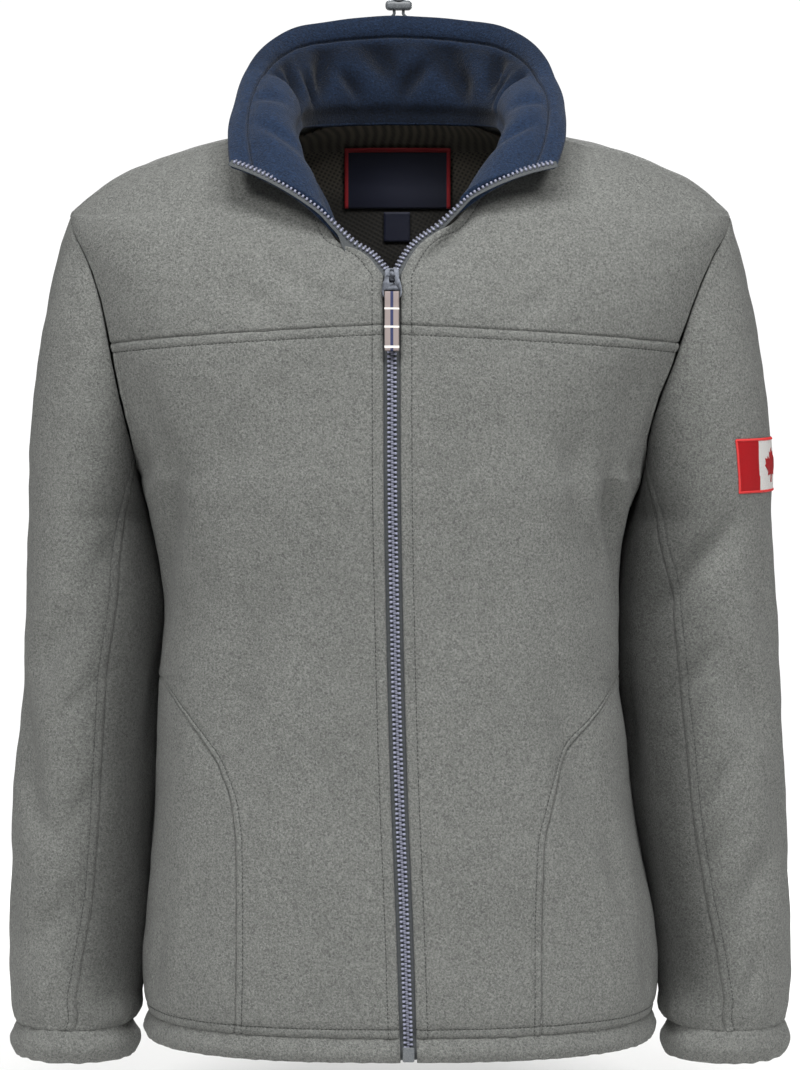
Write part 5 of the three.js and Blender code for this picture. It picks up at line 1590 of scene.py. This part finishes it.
def softened(node, material, body, width):
    """A hard part on its CAD form, with its edges rounded off."""
    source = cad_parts[node]
    mesh = source.data.copy()
    mesh.transform(source.matrix_world)
    mesh.materials.clear()
    piece = bpy.data.objects.new(f"{node}_finish", mesh)
    bpy.context.scene.collection.objects.link(piece)
    edit_mesh(
        piece,
        lambda bm: bmesh.ops.remove_doubles(bm, verts=bm.verts, dist=2e-5),
        lambda bm: bmesh.ops.dissolve_limit(bm, angle_limit=math.radians(2), verts=bm.verts, edges=bm.edges),
        lambda bm: bmesh.ops.recalc_face_normals(bm, faces=bm.faces),
    )
    for face in mesh.polygons:
        face.use_smooth = True
    rounding = piece.modifiers.new("rounded edges", "BEVEL")
    rounding.width = width / 1000
    rounding.segments = 2
    rounding.limit_method = "ANGLE"
    rounding.angle_limit = math.radians(35)
    rounding.harden_normals = True
    mesh.materials.append(stuff(material))
    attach(piece, body)
    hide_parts(node)
    return piece


def pull_frame():
    """The pull's own frame: its pivot in the slider's bridge, leaning a little off the front."""
    place, _, out, up = (np.ravel(v) for v in torso_frame(np.array(-6.0), np.array(-119.0), "left"))
    pivot = place + out * (1.6 + 3.4) + up * 0.5
    lean = math.radians(-14)
    across, up = math.cos(lean), math.sin(lean)
    return pivot, np.array([1.0, 0, 0]), np.array([0, across, up]), np.array([0, -up, across])


class JACKET_OT_slider(bpy.types.Operator):
    """Finishes the slider, its pull and ribbon, and the box at the zip's foot."""

    bl_idname = "jacket.slider"
    bl_label = "Slider and pull"

    def execute(self, context):
        softened("slider", "metal", "jacket", 0.45)
        softened("pull", "metal", "pull_tab", 0.4)
        softened("zip_box", "lock", "jacket", 0.4)
        # the ribbon runs down the front, round the pull's bar and down behind, its two ends sewn together
        pivot, x, y, z = pull_frame()
        top = -17 + 4.4
        side = [(-1.15, down) for down in (-57.0, -50.0, -40.0, -30.0)]
        side += [(-1.2, top - 9), (-1.75, top - 5.5), (-1.85, top - 2.0)]
        bend = [(-1.3, top + 0.2), (0.0, top + 0.85), (1.3, top + 0.2)]
        path = np.array(side + bend + [(-a, b) for a, b in side[::-1]])
        far = distances(path)
        even = np.linspace(0, far[-1], 90)
        line = points_at(path, far, even)
        kernel = np.array([1, 2, 1]) / 4
        line[1:-1] = np.stack([np.convolve(line[:, k], kernel, mode="valid") for k in range(2)], -1)
        width = np.linspace(-5.5, 5.5, 13)
        curl = 0.35 * np.sin(even / 14.0)[:, None] * (width / 5.5)[None, :]
        points = pivot + width[None, :, None] * x + (line[:, :1] + curl)[..., None] * y
        points = points + (line[:, 1:] + 0 * width)[..., None] * z
        piece = grid_object("pull_ribbon_cloth", points, flat_uv(points))
        middle = points.mean((0, 1))
        face_outwards(piece, lambda at: (at - middle) * (0, 1, 0.1))
        thicken(piece, 0.7)
        flat, _ = sheet_size(points)
        sewn(piece, "pull_ribbon", "ribbon", stuff("ribbon"), flat, held="folded", body="pull_tab")
        return {"FINISHED"}


class JACKET_OT_drawcord(bpy.types.Operator):
    """Threads the drawcord through its lock above the back of the collar."""

    bl_idname = "jacket.drawcord"
    bl_label = "Drawcord and lock"

    def execute(self, context):
        x, y, z = -1.0, 78.0, 96.0
        low, top, spread = z - 4, z + 4, 3.6

        def leg(side):
            foot = collar_point(0.5 + side * 0.016, 0.86)
            rest = [(x + side * spread, y, h) for h in (low - 2.6, low - 0.8, z, top + 0.6)]
            return [foot + (0, 0.3, 0), foot + (0, 2.6, 0.5), foot + (0, 4.4, 3.6)] + [np.array(p) for p in rest]

        over = [np.array((x + share * spread, y + 0.4, top + 4.2 - 2.6 * share * share)) for share in (-0.6, 0, 0.6)]
        points = leg(-1) + over + leg(1)[::-1]
        curve = bpy.data.curves.new("drawcord_braid", "CURVE")
        curve.dimensions = "3D"
        curve.bevel_depth = 0.0012
        curve.bevel_resolution = 4
        curve.resolution_u = 8
        curve.use_fill_caps = True
        line = curve.splines.new("BEZIER")
        line.bezier_points.add(len(points) - 1)
        for knot, spot in zip(line.bezier_points, points):
            knot.co = Vector(spot) / 1000
            knot.handle_left_type = knot.handle_right_type = "AUTO"
        cord = bpy.data.objects.new("drawcord_braid", curve)
        context.scene.collection.objects.link(cord)
        cord.data.materials.append(stuff("cord"))
        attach(cord, "jacket")
        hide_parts("drawcord")
        lock = self.lock(np.array((x, y, z)))
        return {"FINISHED"}


    def lock(self, place):
        """A rounded nylon barrel with a dark push button on top."""
        bm = bmesh.new()
        bmesh.ops.create_cube(bm, size=1.0, matrix=frame_of((1, 0, 0), (0, 1, 0), (0, 0, 1), (0, 0, 0), (21, 8, 8)))
        bmesh.ops.bevel(bm, geom=bm.edges[:], offset=3.3, offset_type="OFFSET", affect="EDGES", segments=5, profile=0.5, material=-1)
        shell = len(bm.faces)
        bmesh.ops.create_cone(bm, cap_ends=True, segments=24, radius1=4.6, radius2=3.6, depth=2.6, matrix=Matrix.Translation((0, 0, 4.4)))
        bmesh.ops.recalc_face_normals(bm, faces=bm.faces)
        bm.faces.ensure_lookup_table()
        for face in bm.faces[shell:]:
            face.material_index = 1
        for face in bm.faces:
            face.smooth = True
        bmesh.ops.translate(bm, vec=place, verts=bm.verts)
        bmesh.ops.scale(bm, vec=(0.001,) * 3, verts=bm.verts)
        piece = piece_from(bm, "cord_lock_finish", "lock", nodes=("cord_lock",))
        piece.data.materials.append(stuff("lock dark"))
        rounding = piece.modifiers.new("rounded button", "BEVEL")
        rounding.width, rounding.segments, rounding.limit_method = 0.0005, 2, "ANGLE"
        return piece


class JACKET_OT_stage(bpy.types.Operator):
    """Sets the pale floor, the soft studio light and the camera."""

    bl_idname = "jacket.stage"
    bl_label = "Stage"

    def execute(self, context):
        scene = context.scene
        scene.view_settings.view_transform = "Standard"
        bm = bmesh.new()
        bmesh.ops.create_circle(bm, cap_ends=True, segments=96, radius=FLOOR_RADIUS)
        bmesh.ops.translate(bm, vec=(0, 0, FLOOR_HEIGHT), verts=bm.verts)
        mesh = bpy.data.meshes.new("floor")
        bm.to_mesh(mesh)
        bm.free()
        floor = bpy.data.objects.new("floor", mesh)
        scene.collection.objects.link(floor)
        material, tree = new_material("matt white paper")
        shaded(tree, {"Base Color": linear("#f6f6f5"), "Roughness": 0.9}, {})
        floor.data.materials.append(material)
        for name, place, aim, size, power in (
            ("left key", (-1.5, -2.2, 2.1), (0, 0, -0.2), 0.9, 69),
            ("right key", (1.5, -2.2, 2.1), (0, 0, -0.2), 0.9, 66),
            ("top", (0.1, -1.5, 2.1), (0, -0.1, -0.3), 1.0, 44),
            ("behind", (0.2, 3.2, 0.8), (0, 0, -0.4), 1.4, 110),
        ):
            light = bpy.data.lights.new(name, "AREA")
            light.shape = "SQUARE"
            light.size = size
            light.energy = power
            lamp = bpy.data.objects.new(name, light)
            lamp.location = place
            lamp.rotation_euler = (Vector(aim) - Vector(place)).to_track_quat("-Z", "Y").to_euler()
            scene.collection.objects.link(lamp)
        # a white backdrop that itself gives only a little light
        world = bpy.data.worlds.new("studio")
        world.use_nodes = True
        sky = world.node_tree
        sky.nodes.clear()
        path = add(sky, "ShaderNodeLightPath")
        strength = add(sky, "ShaderNodeMapRange", {"To Min": 0.17, "To Max": 1.05}, {"Value": (path, "Is Camera Ray")})
        backdrop = add(sky, "ShaderNodeBackground", {"Color": (1, 1, 1, 1)}, {"Strength": (strength, "Result")})
        add(sky, "ShaderNodeOutputWorld", links={"Surface": (backdrop, "Background")})
        scene.world = world
        camera = bpy.data.cameras.new("camera")
        camera.sensor_width = 36
        camera.lens = CAMERA_LENS
        camera.clip_end = 30
        eye = bpy.data.objects.new("camera", camera)
        eye.location = CAMERA_PLACE
        eye.rotation_euler = (Vector(CAMERA_AIM) - eye.location).to_track_quat("-Z", "Y").to_euler()
        scene.collection.objects.link(eye)
        scene.camera = eye
        return {"FINISHED"}


OPERATORS = (
    JACKET_OT_stage,
    JACKET_OT_drawcord,
    JACKET_OT_torso,
    JACKET_OT_sleeves,
    JACKET_OT_bands,
    JACKET_OT_collar,
    JACKET_OT_lining,
    JACKET_OT_topstitching,
    JACKET_OT_zip,
    JACKET_OT_slider,
    JACKET_OT_patch,
)


class JACKET_PT_sewing(bpy.types.Panel):
    """The jacket's settings and its pieces."""

    bl_idname = "JACKET_PT_sewing"
    bl_label = "Jacket"
    bl_space_type = "VIEW_3D"
    bl_region_type = "UI"
    bl_category = "Jacket"

    def draw(self, context):
        for group in (context.scene.jacket_sizes, context.scene.jacket_colours):
            for key in group.__annotations__:
                self.layout.prop(group, key)
        for operator in OPERATORS:
            self.layout.operator(operator.bl_idname)


CLASSES = (JacketSizes, JacketColours, *OPERATORS, JACKET_PT_sewing)


def register():
    for kind in CLASSES:
        bpy.utils.register_class(kind)
    bpy.types.Scene.jacket_sizes = bpy.props.PointerProperty(type=JacketSizes)
    bpy.types.Scene.jacket_colours = bpy.props.PointerProperty(type=JacketColours)


def unregister():
    del bpy.types.Scene.jacket_sizes
    del bpy.types.Scene.jacket_colours
    for kind in reversed(CLASSES):
        bpy.utils.unregister_class(kind)


def main():
    register()
    for operator in OPERATORS:
        group, name = operator.bl_idname.split(".")
        getattr(getattr(bpy.ops, group), name)()


if __name__ == "__main__":
    main()
